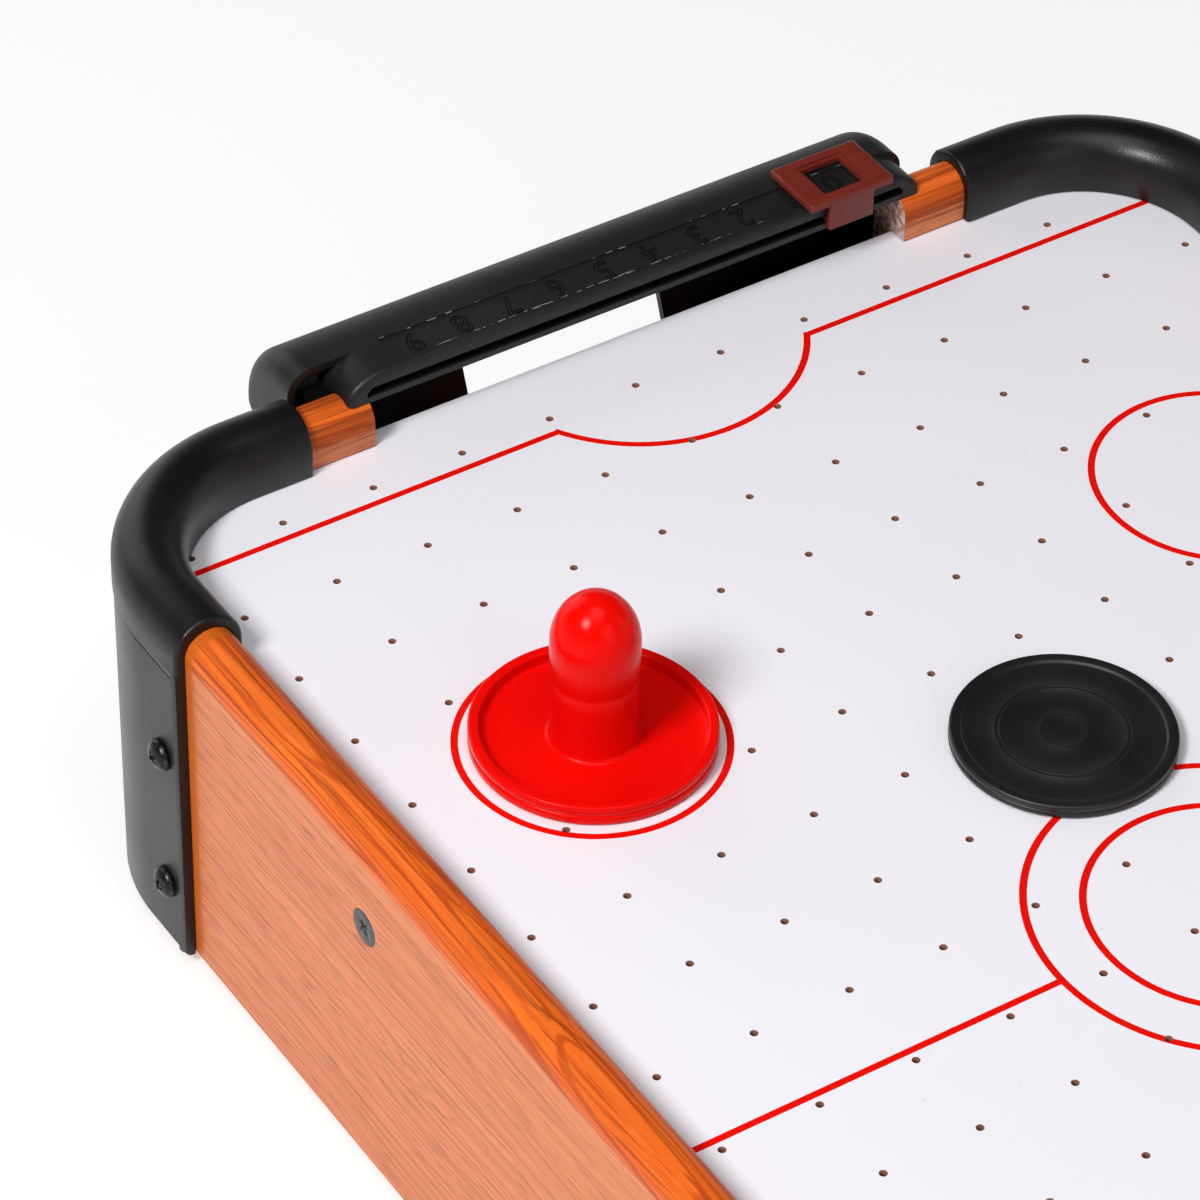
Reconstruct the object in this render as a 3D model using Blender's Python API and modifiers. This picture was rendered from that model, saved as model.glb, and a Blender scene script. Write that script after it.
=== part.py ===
"""Tabletop air hockey table: wood frame, black corner caps and goal hoods, blower and playing pieces.

The origin is on the ground under the middle of the table. +X runs along the length from the left
goal to the right goal, +Y across the width towards the back rail, and +Z up. The table maps onto
itself when it is turned half a turn about Z, so most pieces are made for the left end (-X) or the
front-left corner and placed again by a half turn or a mirror.
"""

import math

import bmesh
import bpy
from mathutils import Matrix, Vector
from mathutils.geometry import interpolate_bezier

MM = 0.001
GAP = 0.3 * MM                       # clearance between pieces that touch or rest on each other

# Overall height levels
GROUND_GAP = 3.0 * MM                # the frame's lower edge stands this high above the ground
FIELD_Z = 88.0 * MM                  # top of the playing field
RAIL_RISE = 12.7 * MM                # the rails stand this high above the field
RAIL_TOP = FIELD_Z + RAIL_RISE

# Wood frame
WOOD = 12.7 * MM                     # plank thickness
INNER_X = 229.6 * MM                 # inner face of the end panels
INNER_Y = 142.6 * MM                 # inner face of the side rails
OUTER_X = INNER_X + WOOD
OUTER_Y = INNER_Y + WOOD
CORNER_X = 197.4 * MM                # centre of the rounded corners
CORNER_Y = 110.4 * MM
GROOVE_DEPTH = 5.7 * MM              # groove for the field, rebate for the base panel
RAIL_ARC_STEPS = 10

# Playing field
FIELD_THICKNESS = 3.0 * MM
FIELD_X = INNER_X + GROOVE_DEPTH - GAP
FIELD_Y = INNER_Y + GROOVE_DEPTH - GAP
HOLE_PITCH = 24.4 * MM
HOLE_RADIUS = 1.05 * MM
HOLE_SIDES = 6
HOLE_COLUMNS = 12
HOLE_FIRST_Y = -133.2 * MM
HOLE_FIRST_X = -216.9 * MM
HOLE_ROWS = 19
HOLE_FIRST_BLOCK_ROWS = 10           # the drilling jig is moved once, which leaves one closer step
HOLE_JIG_SLIP = -1.5 * MM

# Goals
GOAL_HALF_WIDTH = 76.1 * MM
NOTCH_FLOOR = FIELD_Z - 1.5 * MM
NOTCH_EDGE_X = 234.0 * MM            # the goal ramp starts here and falls outwards at 45 degrees
GOAL_RAMP_TOP = FIELD_Z - 3.0 * MM

# Corner caps: a channel over the rails, measured outwards from its inner face
CAP_INNER_X = 227.4 * MM
CAP_INNER_Y = 140.4 * MM
CAP_WIDTH = 17.7 * MM
CAP_TOP = FIELD_Z + 15.7 * MM
CAP_HOLLOW_NEAR = 1.9 * MM
CAP_HOLLOW_FAR = 15.2 * MM
CAP_APRON = 17.4 * MM                # the apron stands back from the rail cover above it
CAP_SEAM_Z = FIELD_Z + 0.3 * MM
CAP_END_X = 180.5 * MM
CAP_END_Y = 94.1 * MM
CAP_BORDER = 2.0 * MM
CAP_ARC_STEPS = 8
CAP_TOP_STEPS = 8

# Goal hood: a rounded box behind each goal, with the score bar in front of it over the rail
HOOD_BACK_X = 266.0 * MM
HOOD_TOP = FIELD_Z + 18.8 * MM
HOOD_BOTTOM = FIELD_Z - 8.0 * MM
HOOD_UPPER_RADIUS = 19.0 * MM
HOOD_LOWER_RADIUS = 7.0 * MM
HOOD_ENDS = (-92.3 * MM, 83.3 * MM)     # the moulding sits a little towards the front
HOOD_END_ROUND = 6.3 * MM
HOOD_END_STEPS = 4
HOOD_WALL = 2.0 * MM
WELL_BACK_X = 265.7 * MM                # the well under the hood, where its back wall starts
WELL_TOP = FIELD_Z - 0.6 * MM
WELL_FLOOR = FIELD_Z - 33.0 * MM
WELL_TAPER = 0.39                       # its back wall leans inwards by this much for each mm down
WELL_CORNER = 5.0 * MM
WELL_HALF_LENGTH = 80.0 * MM
WELL_END_ROUND = 4.0 * MM
HOOD_FRONT_MARGIN = 1.7 * MM         # the closed form starts in front of the panel and is cut off
EXIT_SIDES = (-34.0 * MM, 23.3 * MM)
EXIT_TOP = FIELD_Z - 13.0 * MM
EXIT_BOTTOM = FIELD_Z - 29.5 * MM
FLANGE_HALF_LENGTH = 72.0 * MM
FLANGE_BOTTOM = FIELD_Z - 45.0 * MM
FLANGE_THICKNESS = 2.2 * MM
BAR_FRONT_X = 232.0 * MM
BAR_BACK_X = 246.0 * MM
BAR_BOTTOM = FIELD_Z + 11.6 * MM
BAR_TOP = FIELD_Z + 19.0 * MM
BAR_HALF_LENGTH = 82.0 * MM
BAR_END_ROUND = 10.0 * MM
BAR_EDGE_ROUND = 1.6 * MM
SLOT_BOTTOM = FIELD_Z + 13.2 * MM
SLOT_TOP = FIELD_Z + 15.8 * MM
SLOT_DEPTH = 5.0 * MM
SLOT_HALF_LENGTH = 76.7 * MM
STRIP_FRONT_X = 234.4 * MM
STRIP_BACK_X = 243.6 * MM
STRIP_HALF_LENGTH = 67.0 * MM
STRIP_DEPTH = 0.4 * MM

# Score sliders
SCORE_REST_Y = 60.0 * MM             # the slider frames the digit 0 here and the digit 9 at -60 mm
SLIDER_FRONT_X = 230.0 * MM
SLIDER_BACK_X = 248.0 * MM
SLIDER_HALF_WIDTH = 12.3 * MM
SLIDER_THICKNESS = 2.3 * MM
SLIDER_WINDOW = (11.0 * MM, 11.6 * MM)
TAB_HALF_WIDTH = 6.5 * MM
TAB_THICKNESS = 1.7 * MM
TAB_BOTTOM = FIELD_Z + 12.2 * MM
HOOK_REACH = 3.0 * MM
HOOK_HEIGHT = 1.6 * MM

# Playing pieces
PUSHER_X = 116.2 * MM
PUSHER_Y = 88.1 * MM
PUSHER_RADIUS = 28.0 * MM
PUSHER_STEPS = 20
FELT_RADIUS = 26.4 * MM
FELT_THICKNESS = 0.6 * MM
PUCK_X = -61.1 * MM
PUCK_Y = 0.8 * MM
PUCK_RADIUS = 25.7 * MM
PUCK_THICKNESS = 3.2 * MM
PUCK_STEPS = 24

# Battens and screws
BATTEN_X = 103.4 * MM
BATTEN_WIDTH = 15.0 * MM
BATTEN_HEIGHT = 18.4 * MM
RAIL_SCREW_DROP = 13.0 * MM          # below the field
RAIL_SCREW_LENGTH = 30.0 * MM
CAP_SCREW_DROPS = (27.2 * MM, 67.2 * MM)
CAP_SCREW_X = 188.9 * MM
CAP_SCREW_Y = 109.0 * MM
CAP_SCREW_LENGTH = 11.0 * MM
HOOD_SCREW_Y = 60.0 * MM
HOOD_SCREW_DROP = 39.0 * MM
HOOD_SCREW_LENGTH = 10.0 * MM
PAN_HEAD_RADIUS = 4.0 * MM
PAN_SHANK_RADIUS = 1.5 * MM
FLAT_HEAD_RADIUS = 4.65 * MM
FLAT_SHANK_RADIUS = 1.6 * MM
SCREW_SIDES = 8

# Base panel, feet and blower
BASE_BOTTOM = 8.0 * MM
BASE_THICKNESS = 3.0 * MM
BASE_TOP = BASE_BOTTOM + BASE_THICKNESS
FOOT_X = 185.0 * MM
FOOT_Y = 105.0 * MM
FOOT_RADIUS = 8.0 * MM
INTAKE_RADIUS = 25.0 * MM
GUARD_RADIUS = 33.0 * MM
GUARD_THICKNESS = 1.5 * MM
GUARD_SLOTS = 7
GUARD_SLOT_PITCH = 6.4 * MM
GUARD_SLOT_WIDTH = 4.2 * MM
FAN_BORE = 26.5 * MM
FAN_WALL = 2.0 * MM
FAN_HEIGHT = 22.0 * MM
FAN_FLANGE = 36.0 * MM
FAN_BOTTOM = BASE_TOP + GAP
SPIDER_THICKNESS = 3.0 * MM
SPIDER_ARMS = 3
SPIDER_ARM_WIDTH = 4.0 * MM
CUP_RADIUS = 14.0 * MM
CUP_HEIGHT = 11.0 * MM
MOTOR_RADIUS = 12.0 * MM
MOTOR_HEIGHT = 25.0 * MM
MOTOR_BOSS_RADIUS = 4.0 * MM
MOTOR_SHAFT_RADIUS = 1.2 * MM
SHAFT_GAP = 0.1 * MM
IMPELLER_HUB_RADIUS = 8.0 * MM
IMPELLER_RADIUS = 24.0 * MM
IMPELLER_HEIGHT = 11.0 * MM
IMPELLER_BLADES = 6
BLADE_THICKNESS = 1.2 * MM
BLADE_PITCH = math.radians(32)

# Battery box and switch
BATTERY_X = 120.0 * MM
BATTERY_INSIDE = (62.0 * MM, 58.0 * MM, 16.5 * MM)
BATTERY_WALL = 1.8 * MM
BATTERY_FLANGE = 4.0 * MM
BATTERY_FLANGE_THICKNESS = 1.0 * MM
COVER_LENGTH = 70.0 * MM
COVER_WIDTH = 62.0 * MM
COVER_THICKNESS = 1.8 * MM
RUNNER_LIP = 1.6 * MM
RUNNER_BOTTOM = 3.4 * MM
SWITCH_X = 60.0 * MM
SWITCH_Z = 45.0 * MM
SWITCH_BODY = (19.0 * MM, 12.8 * MM)
SWITCH_BEZEL = (22.0 * MM, 16.0 * MM)
SWITCH_BEZEL_THICKNESS = 1.5 * MM
SWITCH_POCKET = (15.4 * MM, 8.8 * MM)
SWITCH_INNER_Y = 140.0 * MM
ROCKER_PIVOT_Y = 154.8 * MM
ROCKER_WIDTH = 8.2 * MM
CABLE_RADIUS = 1.2 * MM
CABLE_POINTS = 18

HALF_TURN = Matrix.Rotation(math.pi, 4, "Z")

FINISHES = {
    "side_wood": ((0.85, 0.33, 0.15), 0.45, 0.0),
    "field_laminate": ((0.84, 0.82, 0.88), 0.25, 0.0),
    "black_plastic": ((0.013, 0.013, 0.014), 0.42, 0.0),
    "slider_plastic": ((0.12, 0.012, 0.010), 0.25, 0.0),
    "red_plastic": ((0.90, 0.012, 0.006), 0.18, 0.0),
    "puck_plastic": ((0.010, 0.010, 0.010), 0.35, 0.0),
    "white_felt": ((0.75, 0.74, 0.72), 0.95, 0.0),
    "black_screw": ((0.02, 0.02, 0.022), 0.35, 0.6),
    "grey_screw": ((0.16, 0.16, 0.17), 0.35, 0.9),
    "hardboard": ((0.24, 0.13, 0.07), 0.8, 0.0),
    "batten_wood": ((0.62, 0.43, 0.24), 0.7, 0.0),
    "foot_rubber": ((0.03, 0.03, 0.03), 0.85, 0.0),
    "fan_plastic": ((0.05, 0.05, 0.055), 0.4, 0.0),
    "impeller_plastic": ((0.78, 0.78, 0.76), 0.35, 0.0),
    "motor_steel": ((0.55, 0.55, 0.56), 0.3, 1.0),
    "cable_sheath": ((0.02, 0.02, 0.02), 0.5, 0.0),
}


# ---------------------------------------------------------------- scene and helper functions

def clear_scene():
    """Remove whatever the scene holds."""
    for item in list(bpy.data.objects):
        bpy.data.objects.remove(item)


def make_collection(name):
    """Add a collection to the scene."""
    collection = bpy.data.collections.new(name)
    bpy.context.scene.collection.children.link(collection)
    return collection


def finish(name):
    """Return the material of one finish, made on its first use."""
    material = bpy.data.materials.get(name)
    if material is None:
        colour, roughness, metallic = FINISHES[name]
        material = bpy.data.materials.new(name)
        material.use_nodes = True
        shader = material.node_tree.nodes["Principled BSDF"]
        shader.inputs["Base Color"].default_value = (*colour, 1.0)
        shader.inputs["Roughness"].default_value = roughness
        shader.inputs["Metallic"].default_value = metallic
    return material


def add_object(name, data, collection):
    """Link a new object for the given mesh or curve."""
    item = bpy.data.objects.new(name, data)
    collection.objects.link(item)
    return item


def evaluated_mesh(item):
    """Return a new mesh with the object's modifiers applied."""
    graph = bpy.context.evaluated_depsgraph_get()
    return bpy.data.meshes.new_from_object(item.evaluated_get(graph))


def tidy_mesh(mesh):
    """Weld a mesh's loose caps and turn its faces outwards."""
    shape = bmesh.new()
    shape.from_mesh(mesh)
    bmesh.ops.remove_doubles(shape, verts=shape.verts, dist=0.00001)
    bmesh.ops.recalc_face_normals(shape, faces=shape.faces)
    shape.to_mesh(mesh)
    shape.free()
    return mesh


def tool(name, mesh):
    """Make a hidden working object, which a Boolean uses and then removes."""
    item = add_object(name, mesh, TOOLS)
    item.hide_render = True
    item.display_type = "WIRE"
    return item


def piece(name, mesh, finish_name, matrix=None, smooth_angle=None):
    """Make one of the table's pieces from a mesh, which copies may share."""
    item = add_object(name, mesh, TABLE)
    if not mesh.materials:
        mesh.materials.append(finish(finish_name))
    if smooth_angle is not None:
        mesh.shade_smooth()
        mesh.set_sharp_from_angle(angle=math.radians(smooth_angle))
    if matrix is not None:
        item.matrix_world = matrix
    return item


def combine(mesh, other, operation):
    """Cut, join or intersect one mesh with another and return the result."""
    base = tool("base", mesh)
    cutter = tool("cutter", other)
    modifier = base.modifiers.new("combine", "BOOLEAN")
    modifier.operation = operation
    modifier.object = cutter
    modifier.solver = "EXACT"
    result = evaluated_mesh(base)
    bpy.data.objects.remove(base)
    bpy.data.objects.remove(cutter)
    return result


def cut(mesh, *others):
    """Take the other meshes away from a mesh."""
    for other in others:
        mesh = combine(mesh, other, "DIFFERENCE")
    return mesh


def join(mesh, *others):
    """Unite a mesh with the others."""
    for other in others:
        mesh = combine(mesh, other, "UNION")
    return mesh


def moved(mesh, matrix):
    """Return a transformed copy of a mesh; a mirror's faces are turned outwards again."""
    copy = mesh.copy()
    copy.transform(matrix)
    if matrix.determinant() < 0:
        copy.flip_normals()
    return copy


def together(*meshes):
    """Return one mesh that holds several separate bodies, for use as a cutter."""
    shape = bmesh.new()
    for mesh in meshes:
        shape.from_mesh(mesh)
    result = bpy.data.meshes.new("together")
    shape.to_mesh(result)
    shape.free()
    return result


def block(low, high):
    """A box between two corners."""
    low = Vector(low)
    high = Vector(high)
    shape = bmesh.new()
    bmesh.ops.create_cube(shape, size=1.0)
    bmesh.ops.scale(shape, vec=high - low, verts=shape.verts)
    bmesh.ops.translate(shape, vec=(low + high) / 2, verts=shape.verts)
    mesh = bpy.data.meshes.new("block")
    shape.to_mesh(mesh)
    shape.free()
    return mesh


PLANES = {
    "XY": Matrix.Identity(4),
    "XZ": Matrix(((1, 0, 0, 0), (0, 0, 1, 0), (0, 1, 0, 0), (0, 0, 0, 1))),
    "YZ": Matrix(((0, 0, 1, 0), (1, 0, 0, 0), (0, 1, 0, 0), (0, 0, 0, 1))),
}


def plate(loops, low, high, plane="XY"):
    """Extrude flat outlines, the first one outside and the rest holes, between two levels."""
    curve = bpy.data.curves.new("outline", "CURVE")
    curve.dimensions = "2D"
    curve.fill_mode = "BOTH"
    curve.extrude = (high - low) / 2
    for loop in loops:
        spline = curve.splines.new("POLY")
        spline.points.add(len(loop) - 1)
        for point, (across, up) in zip(spline.points, loop):
            point.co = (across, up, 0.0, 1.0)
        spline.use_cyclic_u = True
    item = tool("outline", curve)
    mesh = evaluated_mesh(item)
    bpy.data.objects.remove(item)
    mesh.transform(Matrix.Translation((0, 0, (low + high) / 2)))
    mesh.transform(PLANES[plane])
    return tidy_mesh(mesh)


def softened_prism(loop, low, high, plane, chosen, offset, segments):
    """Extrude one outline and bevel the end edges that the chosen function picks by their places."""
    shape = bmesh.new()
    ring = [shape.verts.new((across, up, low)) for across, up in loop]
    face = shape.faces.new(ring)
    grown = bmesh.ops.extrude_face_region(shape, geom=[face])["geom"]
    top = [part for part in grown if isinstance(part, bmesh.types.BMVert)]
    bmesh.ops.translate(shape, vec=(0, 0, high - low), verts=top)
    edges = [edge for edge in shape.edges if chosen([vert.co for vert in edge.verts])]
    bmesh.ops.bevel(
        shape,
        geom=edges,
        offset=offset,
        segments=segments,
        profile=0.5,
        affect="EDGES",
        clamp_overlap=False,
    )
    mesh = bpy.data.meshes.new("prism")
    shape.to_mesh(mesh)
    shape.free()
    mesh.transform(PLANES[plane])
    return tidy_mesh(mesh)


def turned(profile, steps):
    """Turn an outline of (radius, height) points, given top to bottom, about the Z axis."""
    mesh = bpy.data.meshes.new("profile")
    points = [(radius, 0.0, height) for radius, height in profile]
    mesh.from_pydata(points, [(i, i + 1) for i in range(len(points) - 1)], [])
    item = tool("profile", mesh)
    screw = item.modifiers.new("turn", "SCREW")
    screw.steps = steps
    screw.render_steps = steps
    screw.use_merge_vertices = True
    screw.merge_threshold = 0.00001
    result = evaluated_mesh(item)
    bpy.data.objects.remove(item)
    return tidy_mesh(result)


def rod(start, end, radius, sides=SCREW_SIDES):
    """A straight round bar between two points."""
    start = Vector(start)
    end = Vector(end)
    length = (end - start).length
    mesh = turned([(0, length), (radius, length), (radius, 0), (0, 0)], sides)
    mesh.transform(aimed(start, end - start))
    return mesh


def aimed(place, direction):
    """A matrix that puts +Z along a direction at a place."""
    turn = Vector(direction).to_track_quat("Z", "Y").to_matrix().to_4x4()
    return Matrix.Translation(place) @ turn


def arc(centre, radius, start, end, steps):
    """Points on an arc in degrees; radius is one number or a pair for an ellipse."""
    wide, high = radius if isinstance(radius, tuple) else (radius, radius)
    points = []
    for i in range(steps + 1):
        angle = math.radians(start + (end - start) * i / steps)
        points.append((centre[0] + wide * math.cos(angle), centre[1] + high * math.sin(angle)))
    return points


def circle(centre, radius, sides):
    """A closed round outline."""
    return arc(centre, radius, 0, 360, sides)[:-1]


def rounded_rectangle(half_x, half_y, corner_x, corner_y, steps):
    """An outline with straight sides and a quarter round about each (corner_x, corner_y)."""
    radius = (half_x - corner_x, half_y - corner_y)
    points = arc((corner_x, corner_y), radius, 0, 90, steps)
    points += arc((-corner_x, corner_y), radius, 90, 180, steps)
    points += arc((-corner_x, -corner_y), radius, 180, 270, steps)
    points += arc((corner_x, -corner_y), radius, 270, 360, steps)
    return points


# ---------------------------------------------------------------- wood frame and field

def plank_section(inner):
    """Cross-section of a plank, from its bottom outer edge round its half-round top."""
    outer = inner + WOOD
    radius = WOOD / 2
    deep = inner + GROOVE_DEPTH
    points = [(outer, GROUND_GAP)]
    points += arc((inner + radius, RAIL_TOP - radius), radius, 0, 180, RAIL_ARC_STEPS)
    points += [
        (inner, FIELD_Z + GAP),
        (deep, FIELD_Z + GAP),
        (deep, FIELD_Z - FIELD_THICKNESS - GAP),
        (inner, FIELD_Z - FIELD_THICKNESS - GAP),
        (inner, BASE_TOP + GAP),
        (deep, BASE_TOP + GAP),
        (deep, GROUND_GAP),
    ]
    return points


def plank(inner, half_length, plane, flip):
    """A plank with mitred ends: its outer face ends at half_length and its inner face further out."""
    section = [(flip * across, up) for across, up in plank_section(inner)]
    mesh = plate([section], -half_length, half_length, plane)
    run, across = (0, 1) if plane == "YZ" else (1, 0)
    for vertex in mesh.vertices:
        extra = inner + WOOD - abs(vertex.co[across])
        vertex.co[run] += math.copysign(extra, vertex.co[run])
    return mesh


def side_rail_mesh(side):
    """A long side plank, with its holes for the cap screws and the rail screws."""
    mesh = plank(INNER_Y, CORNER_X, "YZ", side)
    holes = []
    for end in (-1, 1):
        for drop in CAP_SCREW_DROPS:
            place = (end * CAP_SCREW_X, side * (OUTER_Y + 2 * MM), FIELD_Z - drop)
            inside = (place[0], side * (OUTER_Y - CAP_SCREW_LENGTH), place[2])
            holes.append(rod(place, inside, PAN_SHANK_RADIUS + GAP))
        face = (end * BATTEN_X, side * OUTER_Y, FIELD_Z - RAIL_SCREW_DROP)
        holes.append(moved(flat_screw_mesh(GAP), aimed(face, (0, side, 0))))
    return cut(mesh, together(*holes))


def end_panel_mesh():
    """The left end panel, notched for the goal, with a ramp that drops the puck outwards."""
    mesh = plank(INNER_X, CORNER_Y, "XZ", -1)
    fall = OUTER_X + MM - NOTCH_EDGE_X
    notch = [
        (-INNER_X + MM, NOTCH_FLOOR),
        (-INNER_X + MM, RAIL_TOP + MM),
        (-OUTER_X - MM, RAIL_TOP + MM),
        (-OUTER_X - MM, GOAL_RAMP_TOP - fall),
        (-NOTCH_EDGE_X, GOAL_RAMP_TOP),
        (-NOTCH_EDGE_X, NOTCH_FLOOR),
    ]
    mesh = cut(mesh, plate([notch], -GOAL_HALF_WIDTH, GOAL_HALF_WIDTH, "XZ"))
    holes = []
    for side in (-1, 1):
        for drop in CAP_SCREW_DROPS:
            place = (-OUTER_X - 2 * MM, side * CAP_SCREW_Y, FIELD_Z - drop)
            inside = (-OUTER_X + CAP_SCREW_LENGTH, place[1], place[2])
            holes.append(rod(place, inside, PAN_SHANK_RADIUS + GAP))
        place = (-OUTER_X - 2 * MM, side * HOOD_SCREW_Y, FIELD_Z - HOOD_SCREW_DROP)
        inside = (-OUTER_X + HOOD_SCREW_LENGTH, place[1], place[2])
        holes.append(rod(place, inside, PAN_SHANK_RADIUS + GAP))
    return cut(mesh, together(*holes))


def make_frame():
    """The four planks and the two battens under the field."""
    for name, side in (("front_side_rail", -1), ("back_side_rail", 1)):
        mesh = side_rail_mesh(side)
        if side > 0:
            opening_x = SWITCH_BODY[0] / 2 + GAP
            opening_z = SWITCH_BODY[1] / 2 + GAP
            low = (SWITCH_X - opening_x, INNER_Y - MM, SWITCH_Z - opening_z)
            high = (SWITCH_X + opening_x, OUTER_Y + MM, SWITCH_Z + opening_z)
            mesh = cut(mesh, block(low, high))
        piece(name, mesh, "side_wood", smooth_angle=30)
    panel = end_panel_mesh()
    piece("left_end_panel", panel, "side_wood", smooth_angle=30)
    piece("right_end_panel", panel, "side_wood", HALF_TURN)
    for name, end in (("left_batten", -1), ("right_batten", 1)):
        piece(name, batten_mesh(end), "batten_wood")


def batten_mesh(end):
    """A cross batten under the field, with a pilot hole for a rail screw in each end."""
    top = FIELD_Z - FIELD_THICKNESS - GAP
    middle = end * BATTEN_X
    low = (middle - BATTEN_WIDTH / 2, -INNER_Y + GAP, top - BATTEN_HEIGHT)
    high = (middle + BATTEN_WIDTH / 2, INNER_Y - GAP, top)
    holes = []
    for side in (-1, 1):
        face = (middle, side * OUTER_Y, FIELD_Z - RAIL_SCREW_DROP)
        holes.append(moved(flat_screw_mesh(GAP), aimed(face, (0, side, 0))))
    return cut(block(low, high), together(*holes))


def air_holes():
    """Outlines of the drilled air holes, column by column."""
    holes = []
    for row in range(HOLE_ROWS):
        slip = HOLE_JIG_SLIP if row >= HOLE_FIRST_BLOCK_ROWS else 0.0
        across = HOLE_FIRST_X + row * HOLE_PITCH + slip
        for column in range(HOLE_COLUMNS):
            centre = (across, HOLE_FIRST_Y + column * HOLE_PITCH)
            holes.append(circle(centre, HOLE_RADIUS, HOLE_SIDES))
    return holes


def make_field():
    """The drilled playing field, whose edges sit in the planks' grooves."""
    outline = rounded_rectangle(FIELD_X, FIELD_Y, CORNER_X, CORNER_Y, 6)
    mesh = plate([outline] + air_holes(), FIELD_Z - FIELD_THICKNESS, FIELD_Z)
    piece("playfield", mesh, "field_laminate")


# ---------------------------------------------------------------- corner caps

def cap_section():
    """Section of a corner cap: outwards distance from its inner face, and height."""
    outer_radius = CAP_WIDTH / 2
    spring = CAP_TOP - outer_radius
    hollow_radius = (CAP_HOLLOW_FAR - CAP_HOLLOW_NEAR) / 2
    hollow_middle = CAP_HOLLOW_NEAR + hollow_radius
    hollow_spring = RAIL_TOP + GAP - hollow_radius
    points = [(CAP_APRON, GROUND_GAP), (CAP_APRON, CAP_SEAM_Z), (CAP_WIDTH, CAP_SEAM_Z)]
    points += arc((outer_radius, spring), outer_radius, 0, 180, CAP_TOP_STEPS)
    points += [(0.0, FIELD_Z + GAP), (CAP_HOLLOW_NEAR, FIELD_Z + GAP)]
    points += arc((hollow_middle, hollow_spring), hollow_radius, 180, 0, CAP_TOP_STEPS - 2)
    points += [(CAP_HOLLOW_FAR, GROUND_GAP)]
    return points


def swept_cap():
    """Sweep the cap's section along the front rail's end, round the corner and up the end panel."""
    shape = bmesh.new()
    start = [shape.verts.new((-CAP_END_X, -CAP_INNER_Y - out, up)) for out, up in cap_section()]
    loop = [shape.edges.new((start[i - 1], start[i])) for i in range(len(start))]
    first_ring = list(loop)
    ring = extrude_ring(shape, loop, (CAP_END_X - CORNER_X, 0, 0))
    turn = bmesh.ops.spin(
        shape,
        geom=ring,
        cent=(-CORNER_X, -CORNER_Y, 0),
        axis=(0, 0, 1),
        angle=-math.pi / 2,
        steps=CAP_ARC_STEPS,
    )
    ring = [part for part in turn["geom_last"] if isinstance(part, bmesh.types.BMEdge)]
    ring = extrude_ring(shape, ring, (0, CORNER_Y - CAP_END_Y, 0))
    for opening in (first_ring, ring):
        bmesh.ops.contextual_create(shape, geom=opening)
    bmesh.ops.remove_doubles(shape, verts=shape.verts, dist=0.00001)
    bmesh.ops.recalc_face_normals(shape, faces=shape.faces)
    mesh = bpy.data.meshes.new("cap")
    shape.to_mesh(mesh)
    shape.free()
    return mesh


def extrude_ring(shape, edges, step):
    """Extrude a ring of edges by a step and return the new ring's edges."""
    grown = bmesh.ops.extrude_edge_only(shape, edges=edges)["geom"]
    verts = [part for part in grown if isinstance(part, bmesh.types.BMVert)]
    bmesh.ops.translate(shape, vec=step, verts=verts)
    kept = set(verts)
    return [
        part
        for part in grown
        if isinstance(part, bmesh.types.BMEdge) and all(vert in kept for vert in part.verts)
    ]


def cap_mesh():
    """The front-left corner cap with its end borders and screw holes."""
    far_x = CAP_INNER_X + CAP_WIDTH
    far_y = CAP_INNER_Y + CAP_WIDTH
    hollow_x = CAP_INNER_X + CAP_HOLLOW_FAR + GAP
    hollow_y = CAP_INNER_Y + CAP_HOLLOW_FAR + GAP
    border_top = CAP_SEAM_Z + MM
    side_border = block(
        (-CAP_END_X - CAP_BORDER, -far_y, GROUND_GAP), (-CAP_END_X, -hollow_y, border_top)
    )
    end_border = block(
        (-far_x, -CAP_END_Y - CAP_BORDER, GROUND_GAP), (-hollow_x, -CAP_END_Y, border_top)
    )
    mesh = join(swept_cap(), side_border, end_border)
    holes = []
    for drop in CAP_SCREW_DROPS:
        height = FIELD_Z - drop
        outside = (-CAP_SCREW_X, -far_y - MM, height)
        inside = (-CAP_SCREW_X, -OUTER_Y + MM, height)
        holes.append(rod(outside, inside, PAN_SHANK_RADIUS + GAP))
        outside = (-far_x - MM, -CAP_SCREW_Y, height)
        inside = (-OUTER_X + MM, -CAP_SCREW_Y, height)
        holes.append(rod(outside, inside, PAN_SHANK_RADIUS + GAP))
    return cut(mesh, together(*holes))


def make_caps():
    """Four corner caps; two of them are mirror images."""
    front_left = cap_mesh()
    front_right = moved(front_left, Matrix.Diagonal((-1, 1, 1, 1)))
    piece("front_left_corner_cap", front_left, "black_plastic", smooth_angle=40)
    piece("back_right_corner_cap", front_left, "black_plastic", HALF_TURN)
    piece("front_right_corner_cap", front_right, "black_plastic", smooth_angle=40)
    piece("back_left_corner_cap", front_right, "black_plastic", HALF_TURN)


# ---------------------------------------------------------------- goal hoods and score sliders

def lofted(rings):
    """Skin a row of rings of points into one closed body."""
    shape = bmesh.new()
    grid = [[shape.verts.new(point) for point in ring] for ring in rings]
    for first, second in zip(grid, grid[1:]):
        for i in range(len(first)):
            shape.faces.new((first[i - 1], first[i], second[i], second[i - 1]))
    shape.faces.new(grid[0])
    shape.faces.new(grid[-1])
    mesh = bpy.data.meshes.new("loft")
    shape.to_mesh(mesh)
    shape.free()
    return tidy_mesh(mesh)


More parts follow.
